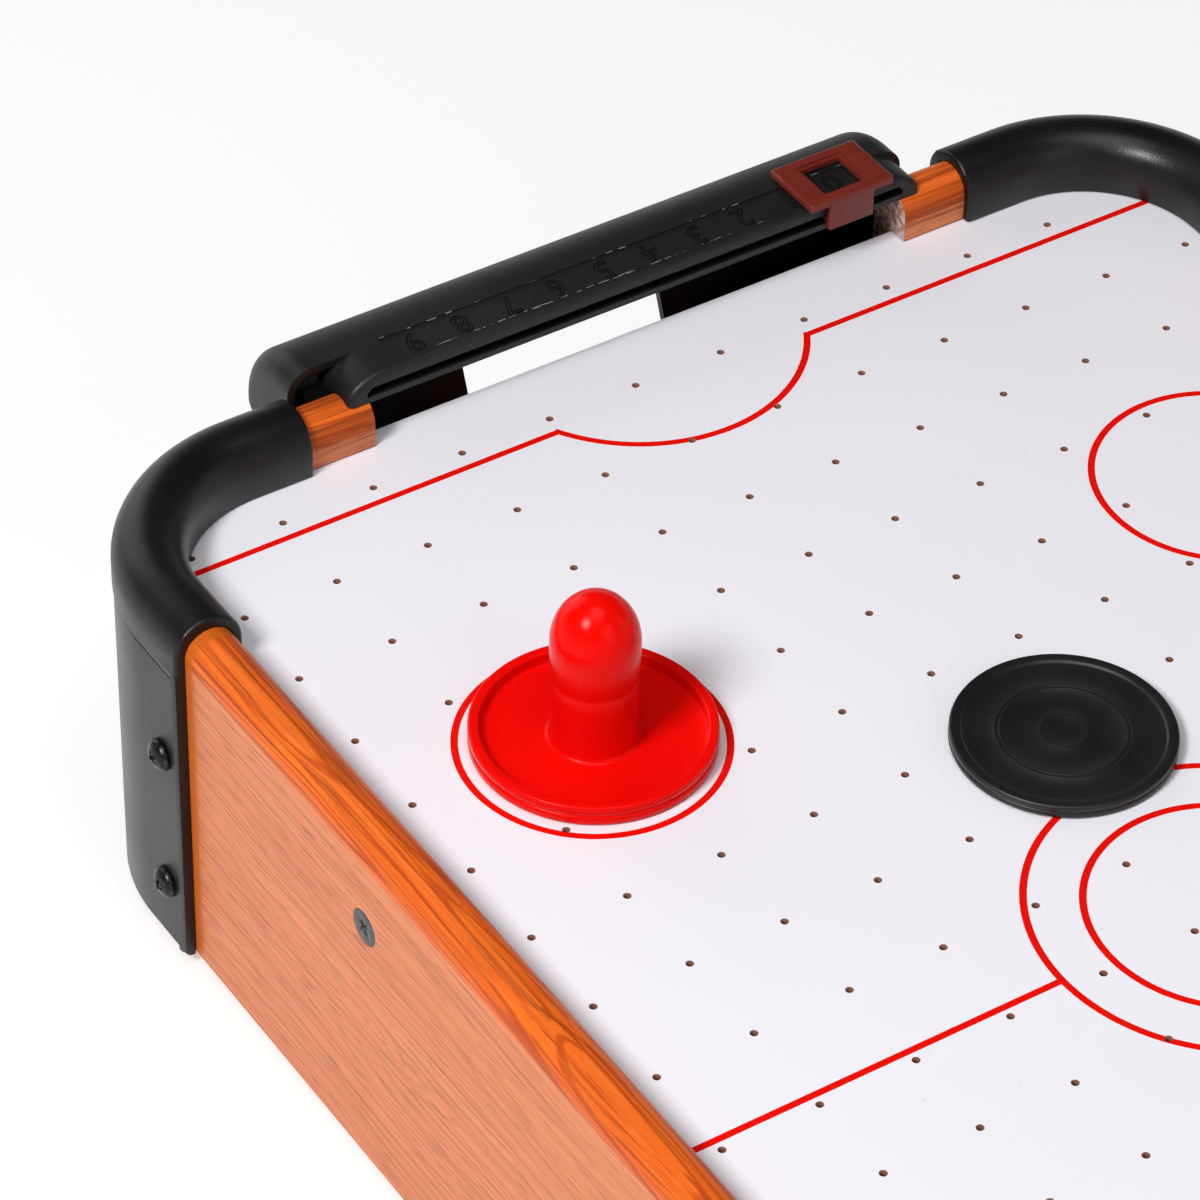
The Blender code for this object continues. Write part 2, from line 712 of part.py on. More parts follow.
def hood_cover(inset, front):
    """The hood's rounded cover, shrunk by an inset, starting at the given front plane."""
    upper = (-HOOD_BACK_X + HOOD_UPPER_RADIUS, HOOD_TOP - HOOD_UPPER_RADIUS)
    lower = (-HOOD_BACK_X + HOOD_LOWER_RADIUS, HOOD_BOTTOM + HOOD_LOWER_RADIUS)

    def section(place, shrink):
        points = [(front, HOOD_TOP - shrink)]
        points += arc(upper, HOOD_UPPER_RADIUS - shrink, 90, 180, 8)
        points += arc(lower, HOOD_LOWER_RADIUS - shrink, 180, 270, 4)
        points += [(front, HOOD_BOTTOM + shrink)]
        return [(across, place, up) for across, up in points]

    rounding = HOOD_END_ROUND - inset
    low_end, high_end = [], []
    for i in range(HOOD_END_STEPS + 1):
        angle = math.pi / 2 * i / HOOD_END_STEPS
        reach = inset + rounding * (1 - math.cos(angle))
        shrink = inset + rounding * (1 - math.sin(angle))
        low_end.append(section(HOOD_ENDS[0] + reach, shrink))
        high_end.append(section(HOOD_ENDS[1] - reach, shrink))
    return lofted(low_end + high_end[::-1])


def hood_well(inset, front):
    """The well under the cover, where the puck drops, shrunk by an inset."""
    lean = math.hypot(1.0, WELL_TAPER)
    radius = WELL_CORNER
    drop = WELL_TOP - WELL_FLOOR - radius
    middle = -WELL_BACK_X + WELL_TAPER * drop + radius * lean
    points = [(front, WELL_TOP), (-WELL_BACK_X + inset * lean, WELL_TOP)]
    start = 180 + math.degrees(math.atan(WELL_TAPER))
    points += arc((middle, WELL_FLOOR + radius), radius - inset, start, 270, 4)
    points += [(front, WELL_FLOOR + inset)]

    def end_rim(ends):
        top = all(p.y > WELL_TOP - GAP for p in ends)
        flush = all(p.x > front - GAP for p in ends)
        return len({p.z > 0 for p in ends}) == 1 and not top and not flush

    half = WELL_HALF_LENGTH - inset
    return softened_prism(points, -half, half, "XZ", end_rim, WELL_END_ROUND - inset, 3)


def hood_form(inset, front):
    """The cover and the well in one closed form."""
    return join(hood_cover(inset, front), hood_well(inset, front))


def score_bar():
    """The bar that bridges the goal over the rail, with rounded ends and front edge."""
    height = BAR_TOP - BAR_BOTTOM
    round_size = (BAR_END_ROUND, height)
    inner = BAR_HALF_LENGTH - BAR_END_ROUND
    outline = arc((inner, BAR_BOTTOM), round_size, 0, 90, 5)
    outline += arc((-inner, BAR_BOTTOM), round_size, 90, 180, 5)
    def front_rim(ends):
        return all(p.z > -BAR_FRONT_X - GAP for p in ends) and any(p.y > BAR_BOTTOM + GAP for p in ends)

    return softened_prism(
        outline, -BAR_BACK_X, -BAR_FRONT_X, "YZ", front_rim, BAR_EDGE_ROUND, 2
    )


def hood_mesh():
    """The left goal hood: a hollow box, the score bar, a screw flange and the puck's way out."""
    front = -OUTER_X + HOOD_FRONT_MARGIN
    mesh = cut(hood_form(0.0, front), hood_form(HOOD_WALL, front + MM))
    reach = -HOOD_ENDS[0] + MM
    mesh = cut(mesh, block((-OUTER_X - GAP, -reach, 0), (-INNER_X, reach, HOOD_TOP + MM)))
    flange = block(
        (-OUTER_X - GAP - FLANGE_THICKNESS, -FLANGE_HALF_LENGTH, FLANGE_BOTTOM),
        (-OUTER_X - GAP, FLANGE_HALF_LENGTH, WELL_FLOOR + HOOD_WALL / 2),
    )
    mesh = join(mesh, flange, score_bar())
    radius = WOOD / 2 + GAP
    saddle = arc((-INNER_X - WOOD / 2, RAIL_TOP + GAP - radius), radius, 0, 180, RAIL_ARC_STEPS)
    saddle += [(-OUTER_X - GAP, FIELD_Z), (-INNER_X + GAP, FIELD_Z)]
    near = GOAL_HALF_WIDTH - GAP
    tools = [plate([saddle], near, reach, "XZ"), plate([saddle], -reach, -near, "XZ")]
    tools.append(
        block(
            (-BAR_FRONT_X - SLOT_DEPTH, -SLOT_HALF_LENGTH, SLOT_BOTTOM),
            (-BAR_FRONT_X + MM, SLOT_HALF_LENGTH, SLOT_TOP),
        )
    )
    tools.append(
        block(
            (-STRIP_BACK_X, -STRIP_HALF_LENGTH, BAR_TOP - STRIP_DEPTH),
            (-STRIP_FRONT_X, STRIP_HALF_LENGTH, BAR_TOP + MM),
        )
    )
    tools.append(
        block(
            (-HOOD_BACK_X - MM, EXIT_SIDES[0], EXIT_BOTTOM),
            (-OUTER_X - 5 * MM, EXIT_SIDES[1], EXIT_TOP),
        )
    )
    for side in (-1, 1):
        height = FIELD_Z - HOOD_SCREW_DROP
        outside = (-OUTER_X - 5 * MM, side * HOOD_SCREW_Y, height)
        inside = (-OUTER_X + MM, side * HOOD_SCREW_Y, height)
        tools.append(rod(outside, inside, PAN_SHANK_RADIUS + GAP))
    return cut(mesh, *tools)


def slider_mesh():
    """The left score slider: a window frame on the bar, with a tab that hooks into its slot."""
    middle_x = -(SLIDER_FRONT_X + SLIDER_BACK_X) / 2
    half_x = (SLIDER_BACK_X - SLIDER_FRONT_X) / 2
    window_x = SLIDER_WINDOW[0] / 2
    window_y = SLIDER_WINDOW[1] / 2
    bottom = BAR_TOP + GAP
    frame = [
        (middle_x - half_x, -SLIDER_HALF_WIDTH),
        (middle_x + half_x, -SLIDER_HALF_WIDTH),
        (middle_x + half_x, SLIDER_HALF_WIDTH),
        (middle_x - half_x, SLIDER_HALF_WIDTH),
    ]
    window = [
        (middle_x - window_x, -window_y),
        (middle_x + window_x, -window_y),
        (middle_x + window_x, window_y),
        (middle_x - window_x, window_y),
    ]
    mesh = plate([frame, window], bottom, bottom + SLIDER_THICKNESS)
    tab_back = -SLIDER_FRONT_X - TAB_THICKNESS
    hook_bottom = (SLOT_BOTTOM + SLOT_TOP - HOOK_HEIGHT) / 2
    tab_profile = [
        (-SLIDER_FRONT_X, bottom + MM),
        (tab_back, bottom + MM),
        (tab_back, hook_bottom + HOOK_HEIGHT),
        (tab_back - HOOK_REACH, hook_bottom + HOOK_HEIGHT),
        (tab_back - HOOK_REACH, hook_bottom),
        (tab_back, hook_bottom),
        (tab_back, TAB_BOTTOM),
        (-SLIDER_FRONT_X, TAB_BOTTOM),
    ]
    tab = plate([tab_profile], -TAB_HALF_WIDTH, TAB_HALF_WIDTH, "XZ")
    return join(mesh, tab)


def make_goals():
    """A hood and a score slider at each end."""
    hood = hood_mesh()
    piece("left_goal_hood", hood, "black_plastic", smooth_angle=30)
    piece("right_goal_hood", hood, "black_plastic", HALF_TURN)
    slider = slider_mesh()
    rest = Matrix.Translation((0, SCORE_REST_Y, 0))
    piece("left_score_slider", slider, "slider_plastic", rest)
    piece("right_score_slider", slider, "slider_plastic", HALF_TURN @ rest)


# ---------------------------------------------------------------- pushers and puck

def pusher_profile():
    """A pusher's hollow moulding, from the knob's crown down outside and up again inside."""
    profile = [(0.0, 41.8), (4.8, 40.7), (8.4, 37.7), (10.2, 33.0), (10.4, 22.6), (9.9, 21.8)]
    profile += [(10.0, 2.2), (25.4, 2.2), (25.6, 5.2), (27.6, 5.2), (28.0, 4.6), (28.0, 0.3)]
    profile += [(26.8, 0.3), (26.8, 1.2), (8.3, 1.2), (8.3, 33.0), (0.0, 39.0)]
    return [(radius * MM, height * MM) for radius, height in profile]


def puck_profile():
    """The puck: a raised rim, a grooved side and a flat middle."""
    edge = PUCK_RADIUS / MM
    high = PUCK_THICKNESS / MM
    profile = [(0.0, high - 0.5), (edge - 2.9, high - 0.5), (edge - 2.5, high)]
    profile += [(edge - 0.5, high), (edge, high - 0.5), (edge, 1.9), (edge - 0.3, 1.6), (edge, 1.3)]
    profile += [(edge, 0.5), (edge - 0.5, 0.0), (0.0, 0.0)]
    return [(radius * MM, height * MM) for radius, height in profile]


def make_playing_pieces():
    """Two pushers with felt undersides, and the puck."""
    pusher = turned(pusher_profile(), PUSHER_STEPS)
    felt = turned(
        [(0, FELT_THICKNESS), (FELT_RADIUS, FELT_THICKNESS), (FELT_RADIUS, 0), (0, 0)], PUSHER_STEPS
    )
    for end, sign in (("left", -1), ("right", 1)):
        rest = Matrix.Translation((sign * PUSHER_X, sign * PUSHER_Y, FIELD_Z))
        piece(end + "_pusher", pusher, "red_plastic", rest, smooth_angle=35)
        lifted = rest @ Matrix.Translation((0, 0, GAP))
        piece(end + "_pusher_felt", felt, "white_felt", lifted)
    place = Matrix.Translation((PUCK_X, PUCK_Y, FIELD_Z + GAP))
    piece("puck", turned(puck_profile(), PUCK_STEPS), "puck_plastic", place, smooth_angle=35)


# ---------------------------------------------------------------- screws

def pan_screw_mesh(length):
    """A pan-head screw whose head sits above local zero and whose shank runs down."""
    head = PAN_HEAD_RADIUS
    shank = PAN_SHANK_RADIUS
    profile = [(0, 2.5 * MM), (head * 0.7, 2.1 * MM), (head, 0.6 * MM), (head, 0)]
    profile += [(shank, 0), (shank, shank - length), (0, -length)]
    return turned(profile, SCREW_SIDES)


def flat_screw_mesh(clearance):
    """A countersunk screw, or with a clearance the hole that it sits in."""
    head = FLAT_HEAD_RADIUS + clearance
    shank = FLAT_SHANK_RADIUS + clearance
    top = clearance - GAP
    if clearance:
        top = 2 * MM
    profile = [(0, top), (head, top)]
    if clearance:
        profile.append((head, -GAP))
    profile += [(shank, shank - head - GAP), (shank, 3 * MM - RAIL_SCREW_LENGTH - clearance)]
    profile.append((0, -RAIL_SCREW_LENGTH - clearance))
    return turned(profile, SCREW_SIDES)


def make_screws():
    """Cap screws on both faces of each corner, rail screws into the battens, and hood screws."""
    cap_screw = pan_screw_mesh(CAP_SCREW_LENGTH)
    rail_screw = flat_screw_mesh(0.0)
    hood_screw = pan_screw_mesh(HOOD_SCREW_LENGTH)
    face_x = CAP_INNER_X + CAP_APRON + GAP
    face_y = CAP_INNER_Y + CAP_APRON + GAP
    for side, sign_y in (("front", -1), ("back", 1)):
        for end, sign_x in (("left", -1), ("right", 1)):
            corner = side + "_" + end
            for level, drop in zip(("upper", "lower"), CAP_SCREW_DROPS):
                height = FIELD_Z - drop
                place = (sign_x * CAP_SCREW_X, sign_y * face_y, height)
                name = corner + "_" + level + "_cap_side_screw"
                piece(name, cap_screw, "black_screw", aimed(place, (0, sign_y, 0)), 40)
                place = (sign_x * face_x, sign_y * CAP_SCREW_Y, height)
                name = corner + "_" + level + "_cap_end_screw"
                piece(name, cap_screw, "black_screw", aimed(place, (sign_x, 0, 0)), 40)
            place = (sign_x * BATTEN_X, sign_y * OUTER_Y, FIELD_Z - RAIL_SCREW_DROP)
            name = corner + "_rail_screw"
            piece(name, rail_screw, "grey_screw", aimed(place, (0, sign_y, 0)))
            face = OUTER_X + 2 * GAP + FLANGE_THICKNESS
            place = (sign_x * face, sign_y * HOOD_SCREW_Y, FIELD_Z - HOOD_SCREW_DROP)
            name = corner + "_hood_screw"
            piece(name, hood_screw, "black_screw", aimed(place, (sign_x, 0, 0)))


# ---------------------------------------------------------------- base panel, feet and blower

def make_base():
    """The hardboard base panel, with its fan intake and battery opening, and four feet."""
    outline = rounded_rectangle(FIELD_X, FIELD_Y, CORNER_X, CORNER_Y, 6)
    half_x = BATTERY_INSIDE[0] / 2 + BATTERY_WALL + GAP
    half_y = BATTERY_INSIDE[1] / 2 + BATTERY_WALL + GAP
    battery_opening = [
        (BATTERY_X - half_x, -half_y),
        (BATTERY_X + half_x, -half_y),
        (BATTERY_X + half_x, half_y),
        (BATTERY_X - half_x, half_y),
    ]
    loops = [outline, circle((0, 0), INTAKE_RADIUS, 24), battery_opening]
    piece("base_panel", plate(loops, BASE_BOTTOM, BASE_TOP), "hardboard")
    top = BASE_BOTTOM - GAP
    foot = turned([(0, top), (FOOT_RADIUS, top), (FOOT_RADIUS * 0.85, 0), (0, 0)], 16)
    for side, sign_y in (("front", -1), ("back", 1)):
        for end, sign_x in (("left", -1), ("right", 1)):
            place = Matrix.Translation((sign_x * FOOT_X, sign_y * FOOT_Y, 0))
            piece(side + "_" + end + "_foot", foot, "foot_rubber", place)


def guard_mesh():
    """A round guard with parallel slots, under the intake."""
    top = BASE_BOTTOM - GAP
    loops = [circle((0, 0), GUARD_RADIUS, 24)]
    reach = INTAKE_RADIUS - MM
    for i in range(GUARD_SLOTS):
        middle = (i - (GUARD_SLOTS - 1) / 2) * GUARD_SLOT_PITCH
        half = math.sqrt(reach ** 2 - (abs(middle) + GUARD_SLOT_WIDTH / 2) ** 2)
        low = middle - GUARD_SLOT_WIDTH / 2
        high = middle + GUARD_SLOT_WIDTH / 2
        loops.append([(-half, low), (half, low), (half, high), (-half, high)])
    return plate(loops, top - GUARD_THICKNESS, top)


def fan_housing_mesh():
    """The fan's tube and flange, with three arms that hold the motor's cup."""
    low = FAN_BOTTOM
    top = low + FAN_HEIGHT
    outer = FAN_BORE + FAN_WALL
    arm_bottom = top - SPIDER_THICKNESS
    flange_top = low + FAN_WALL
    tube_profile = [(FAN_BORE, top), (outer, top), (outer, flange_top), (FAN_FLANGE, flange_top)]
    tube_profile += [(FAN_FLANGE, low), (FAN_BORE, low), (FAN_BORE, top)]
    tube = turned(tube_profile, 24)
    inside = MOTOR_RADIUS + GAP
    hole = MOTOR_BOSS_RADIUS + GAP
    cup_top = arm_bottom + CUP_HEIGHT
    cup_profile = [(inside, cup_top), (CUP_RADIUS, cup_top), (CUP_RADIUS, arm_bottom)]
    cup_profile += [(hole, arm_bottom), (hole, top), (inside, top), (inside, cup_top)]
    cup = turned(cup_profile, 20)
    arms = []
    for i in range(SPIDER_ARMS):
        half = SPIDER_ARM_WIDTH / 2
        arm = block((CUP_RADIUS - MM, -half, arm_bottom + GAP), (FAN_BORE + MM, half, top - GAP))
        arms.append(moved(arm, Matrix.Rotation(2 * math.pi * i / SPIDER_ARMS, 4, "Z")))
    return join(tube, together(*arms), cup)


def motor_mesh():
    """The motor can, its front boss and its shaft, which points down into the impeller."""
    seat = FAN_BOTTOM + FAN_HEIGHT + GAP
    boss = seat - SPIDER_THICKNESS
    tip = boss - 6 * MM
    profile = [(0, seat + MOTOR_HEIGHT), (MOTOR_RADIUS, seat + MOTOR_HEIGHT), (MOTOR_RADIUS, seat)]
    profile += [(MOTOR_BOSS_RADIUS, seat), (MOTOR_BOSS_RADIUS, boss), (MOTOR_SHAFT_RADIUS, boss)]
    profile += [(MOTOR_SHAFT_RADIUS, tip), (0, tip)]
    return turned(profile, 20)


def impeller_mesh():
    """An axial impeller with pitched blades, pressed on the motor's shaft."""
    top = FAN_BOTTOM + FAN_HEIGHT - SPIDER_THICKNESS - MM
    low = top - IMPELLER_HEIGHT
    bore = MOTOR_SHAFT_RADIUS + SHAFT_GAP
    bore_end = top - 6.5 * MM
    hub_profile = [(0, bore_end), (bore, bore_end), (bore, top), (IMPELLER_HUB_RADIUS, top)]
    hub_profile += [(IMPELLER_HUB_RADIUS, low), (0, low)]
    blades = []
    middle = (top + low) / 2
    half_height = IMPELLER_HEIGHT / 2 - 0.5 * MM
    half_width = half_height * math.tan(BLADE_PITCH)
    skew = Matrix.Identity(4)
    skew[1][2] = math.tan(BLADE_PITCH)
    for i in range(IMPELLER_BLADES):
        low_corner = (IMPELLER_HUB_RADIUS - 1.5 * MM, -BLADE_THICKNESS / 2, -half_height)
        reach = math.sqrt(IMPELLER_RADIUS ** 2 - (half_width + BLADE_THICKNESS) ** 2)
        blade = block(low_corner, (reach, BLADE_THICKNESS / 2, half_height))
        turn = Matrix.Rotation(2 * math.pi * i / IMPELLER_BLADES, 4, "Z")
        blades.append(moved(blade, Matrix.Translation((0, 0, middle)) @ turn @ skew))
    return join(turned(hub_profile, 20), together(*blades))


def make_blower():
    """Guard, housing, motor and impeller of the blower, all on the middle of the table."""
    piece("fan_guard", guard_mesh(), "fan_plastic")
    piece("fan_housing", fan_housing_mesh(), "fan_plastic", smooth_angle=30)
    piece("fan_motor", motor_mesh(), "motor_steel", smooth_angle=30)
    piece("fan_impeller", impeller_mesh(), "impeller_plastic", smooth_angle=30)


# ---------------------------------------------------------------- battery box, switch and cables

def battery_box_mesh():
    """A tray that opens downwards through the base panel, with runners for its cover."""
    half_x = BATTERY_INSIDE[0] / 2
    half_y = BATTERY_INSIDE[1] / 2
    wall = BATTERY_WALL
    flange_top = BASE_BOTTOM - GAP
    flange_bottom = flange_top - BATTERY_FLANGE_THICKNESS
    ceiling = flange_top + BATTERY_INSIDE[2]
    rim = wall + BATTERY_FLANGE
    tray_low = (-half_x - wall, -half_y - wall, flange_bottom)
    tray_high = (half_x + wall, half_y + wall, ceiling + wall)
    flange_low = (-half_x - rim, -half_y - rim, flange_bottom)
    flange_high = (half_x + rim, half_y + rim, flange_top)
    inside = block((-half_x, -half_y, 0), (half_x, half_y, ceiling))
    mesh = cut(join(block(tray_low, tray_high), block(flange_low, flange_high)), inside)
    runner_inner = COVER_WIDTH / 2 + GAP
    runner = [
        (runner_inner, flange_bottom + BATTERY_FLANGE_THICKNESS / 2),
        (runner_inner, RUNNER_BOTTOM + MM),
        (runner_inner - RUNNER_LIP, RUNNER_BOTTOM + MM),
        (runner_inner - RUNNER_LIP, RUNNER_BOTTOM),
        (half_y + rim, RUNNER_BOTTOM),
        (half_y + rim, flange_bottom + BATTERY_FLANGE_THICKNESS / 2),
    ]
    for side in (-1, 1):
        outline = [(side * across, up) for across, up in runner]
        mesh = join(mesh, plate([outline], -half_x - rim, half_x + rim, "YZ"))
    return mesh


def cover_mesh():
    """The battery cover, a plate with finger ribs at its pulling end."""
    top = BASE_BOTTOM - 2 * GAP - BATTERY_FLANGE_THICKNESS
    half_x = COVER_LENGTH / 2
    half_y = COVER_WIDTH / 2
    mesh = block((-half_x, -half_y, top - COVER_THICKNESS), (half_x, half_y, top))
    ribs = []
    for i in range(4):
        near = half_x - (4 + 3 * i) * MM
        low = (near - 1.2 * MM, -10 * MM, top - COVER_THICKNESS - MM)
        ribs.append(block(low, (near, 10 * MM, top - COVER_THICKNESS / 2)))
    return join(mesh, together(*ribs))


def switch_housing_mesh():
    """The rocker switch's housing in the back rail, open outwards."""
    half_x, half_z = SWITCH_BODY[0] / 2, SWITCH_BODY[1] / 2
    bezel_x, bezel_z = SWITCH_BEZEL[0] / 2, SWITCH_BEZEL[1] / 2
    pocket_x, pocket_z = SWITCH_POCKET[0] / 2, SWITCH_POCKET[1] / 2
    face = OUTER_Y + GAP
    body = block((-half_x, SWITCH_INNER_Y, -half_z), (half_x, face + MM, half_z))
    bezel = block((-bezel_x, face, -bezel_z), (bezel_x, face + SWITCH_BEZEL_THICKNESS, bezel_z))
    pocket = block((-pocket_x, ROCKER_PIVOT_Y - 4 * MM, -pocket_z), (pocket_x, face + 3 * MM, pocket_z))
    return cut(join(body, bezel), pocket)


def rocker_mesh():
    """The rocker, seen from above, about its own pivot; its left end stands out when off."""
    outline = [(-6.5, 3.3), (0.0, 1.9), (6.5, 1.7), (6.5, 0.3), (3.0, -2.5), (-3.0, -2.5), (-6.5, 0.3)]
    loop = [(across * MM, out * MM) for across, out in outline]
    return plate([loop], -ROCKER_WIDTH / 2, ROCKER_WIDTH / 2)


def cable_mesh(start, start_pull, end, end_pull):
    """A twin cable along one smooth curve between two exits."""
    start = Vector(start)
    end = Vector(end)
    route = interpolate_bezier(
        start, start + Vector(start_pull), end + Vector(end_pull), end, CABLE_POINTS
    )
    curve = bpy.data.curves.new("cable", "CURVE")
    curve.dimensions = "3D"
    curve.bevel_depth = CABLE_RADIUS
    curve.bevel_resolution = 2
    curve.use_fill_caps = True
    spline = curve.splines.new("POLY")
    spline.points.add(len(route) - 1)
    for point, place in zip(spline.points, route):
        point.co = (*place, 1.0)
    item = tool("cable", curve)
    mesh = evaluated_mesh(item)
    bpy.data.objects.remove(item)
    return tidy_mesh(mesh)


def make_electrics():
    """Battery box with its cover, the switch with its rocker, and the two cables."""
    at_battery = Matrix.Translation((BATTERY_X, 0, 0))
    piece("battery_box", battery_box_mesh(), "fan_plastic", at_battery)
    piece("battery_cover", cover_mesh(), "fan_plastic", at_battery)
    at_switch = Matrix.Translation((SWITCH_X, 0, SWITCH_Z))
    piece("switch_housing", switch_housing_mesh(), "black_plastic", at_switch)
    at_pivot = Matrix.Translation((SWITCH_X, ROCKER_PIVOT_Y, SWITCH_Z))
    piece("switch_rocker", rocker_mesh(), "red_plastic", at_pivot)
    switch_back = SWITCH_INNER_Y - GAP
    motor_top = FAN_BOTTOM + FAN_HEIGHT + 2 * GAP + MOTOR_HEIGHT
    motor_cable = cable_mesh(
        (MOTOR_RADIUS / 2, 0, motor_top),
        (0, 0, 25 * MM),
        (SWITCH_X - 5 * MM, switch_back, SWITCH_Z),
        (0, -60 * MM, 0),
    )
    piece("motor_cable", motor_cable, "cable_sheath", smooth_angle=40)
    box_side = BATTERY_INSIDE[1] / 2 + BATTERY_WALL + GAP
    battery_cable = cable_mesh(
        (BATTERY_X - 15 * MM, box_side, 18 * MM),
        (0, 45 * MM, 0),
        (SWITCH_X + 5 * MM, switch_back, SWITCH_Z),
        (0, -45 * MM, 0),
    )
    piece("battery_cable", battery_cable, "cable_sheath", smooth_angle=40)


clear_scene()
TABLE = make_collection("air_hockey_table")
TOOLS = make_collection("cutters")
make_frame()
make_field()
make_caps()
make_goals()
make_playing_pieces()
make_screws()
make_base()
make_blower()
make_electrics()
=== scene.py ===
"""Looks of a tabletop air hockey table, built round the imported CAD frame.

The table's frame is the CAD's: the origin is on the ground under the middle, +X runs from the left
goal to the right goal, +Y from the front rail to the back rail, and +Z up.
"""

import math
import random

import bmesh
import bpy
from mathutils import Matrix, Vector


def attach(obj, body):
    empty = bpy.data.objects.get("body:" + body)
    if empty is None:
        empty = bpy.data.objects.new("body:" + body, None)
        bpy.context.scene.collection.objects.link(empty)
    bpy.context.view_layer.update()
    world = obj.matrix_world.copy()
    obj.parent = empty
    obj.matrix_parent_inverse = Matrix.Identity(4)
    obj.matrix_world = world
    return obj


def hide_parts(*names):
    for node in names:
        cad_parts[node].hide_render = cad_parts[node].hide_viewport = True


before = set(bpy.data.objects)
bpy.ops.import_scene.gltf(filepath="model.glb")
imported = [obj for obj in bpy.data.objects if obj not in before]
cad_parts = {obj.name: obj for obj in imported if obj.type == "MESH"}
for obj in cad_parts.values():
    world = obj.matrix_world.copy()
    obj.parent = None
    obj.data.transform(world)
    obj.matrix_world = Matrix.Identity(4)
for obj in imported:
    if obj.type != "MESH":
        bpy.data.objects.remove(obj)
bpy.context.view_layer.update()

MM = 0.001
GAP = 0.3 * MM
WELD = 0.005 * MM
HALF_TURN = Matrix.Rotation(math.pi, 4, "Z")
CORNERS = (
    ("front_left", -1, -1), ("front_right", 1, -1), ("back_left", -1, 1), ("back_right", 1, 1),
)

# Wood frame and field, as in the CAD
GROUND_GAP = 3.0 * MM
FIELD_Z = 88.0 * MM
RAIL_TOP = FIELD_Z + 12.7 * MM
WOOD = 12.7 * MM
INNER_X = 229.6 * MM
INNER_Y = 142.6 * MM
OUTER_X = INNER_X + WOOD
OUTER_Y = INNER_Y + WOOD
CORNER_X = 197.4 * MM
CORNER_Y = 110.4 * MM
GROOVE_DEPTH = 5.7 * MM
FIELD_THICKNESS = 3.0 * MM
FIELD_X = INNER_X + GROOVE_DEPTH - GAP
FIELD_Y = INNER_Y + GROOVE_DEPTH - GAP
BASE_TOP = 11.0 * MM
HOLE_PITCH = 24.4 * MM
HOLE_FIRST = (-216.9 * MM, -133.2 * MM)
HOLE_COUNTS = (19, 12)
HOLE_SLIP = -1.5 * MM
HOLE_SLIP_FROM = 10
HOLE_RADIUS = 0.95 * MM
GOAL_HALF_WIDTH = 76.1 * MM
NOTCH_FLOOR = FIELD_Z - 1.5 * MM
NOTCH_RAMP = (234.0 * MM, FIELD_Z - 3.0 * MM)

# Printed lines
LINE_WIDTH = 1.7 * MM
INK_BOTTOM = FIELD_Z + 0.005 * MM
INK_TOP = FIELD_Z + 0.03 * MM
CENTRE_RINGS = (44.3 * MM, 31.4 * MM)
CENTRE_LINE_X = -0.2 * MM
GOAL_LINE_X = 211.7 * MM
GOAL_ARC_CENTRE = (-233.3 * MM, -0.8 * MM)
GOAL_ARC_RADIUS = 41.7 * MM
SIDE_RINGS = ((-115.9 * MM, -88.5 * MM), (-116.5 * MM, 88.0 * MM))
SIDE_RING_RADIUS = 30.7 * MM

# Corner caps
CAP_INNER_X = 227.4 * MM
CAP_INNER_Y = 140.4 * MM
CAP_CORNER_RADIUS = 30.0 * MM
CAP_WIDTH = 17.7 * MM
CAP_TOP = FIELD_Z + 15.7 * MM
CAP_APRON = 17.4 * MM
CAP_WALL = 1.9 * MM
CAP_HOLLOW = 6.65 * MM
CAP_SEAM = 0.25 * MM
CAP_SEAM_Z = FIELD_Z + 0.3 * MM
CAP_END_X = 180.5 * MM
CAP_END_Y = 94.1 * MM
CAP_LIP = 0.8 * MM
CAP_BORDER = 2.2 * MM
CAP_BORDER_ROUND = 3.0 * MM
CAP_BORDER_SKIRT = 1.2 * MM

# Goal hoods
HOOD_TOP = FIELD_Z + 18.8 * MM
HOOD_BACK_X = 266.0 * MM
HOOD_BOTTOM = FIELD_Z - 8.0 * MM
HOOD_UPPER_RADIUS = 19.0 * MM
HOOD_LOWER_RADIUS = 7.0 * MM
HOOD_ENDS = (-92.3 * MM, 83.3 * MM)
HOOD_END_ROUND = 6.3 * MM
HOOD_WALL = 2.0 * MM
WELL_BACK_X = 265.7 * MM
WELL_TOP = FIELD_Z - 0.6 * MM
WELL_FLOOR = FIELD_Z - 33.0 * MM
WELL_TAPER = 0.39
WELL_CORNER = 5.0 * MM
WELL_HALF_LENGTH = 80.0 * MM
WELL_END_ROUND = 4.0 * MM
FLANGE_HALF_LENGTH = 72.0 * MM
FLANGE_DROP = 12.0 * MM
EXIT_SIDES = (-34.0 * MM, 23.3 * MM)
EXIT_BOTTOM = FIELD_Z - 29.5 * MM
EXIT_TOP = FIELD_Z - 13.0 * MM

# Score bars and sliders
BAR_FRONT_X = 232.0 * MM
BAR_BACK_X = 246.0 * MM
BAR_BOTTOM = FIELD_Z + 11.6 * MM
BAR_TOP = FIELD_Z + 19.0 * MM
BAR_HALF_FLAT = 72.0 * MM
BAR_END_LENGTH = 10.0 * MM
BAR_ROUND = 1.6 * MM
STRIP_X = (-243.6 * MM, -234.4 * MM)
STRIP_HALF_LENGTH = 67.0 * MM
STRIP_DEPTH = 0.4 * MM
SLOT_HALF_LENGTH = 76.7 * MM
SLOT_HEIGHTS = (FIELD_Z + 13.2 * MM, FIELD_Z + 14.4 * MM, FIELD_Z + 15.8 * MM)
SLOT_CHAMFER = 1.4 * MM
DIGIT_PITCH = 13.333 * MM
DIGIT_FIRST_Y = 60.0 * MM
SCORE_X = -239.0 * MM
SLIDER_REST_Y = 60.0 * MM

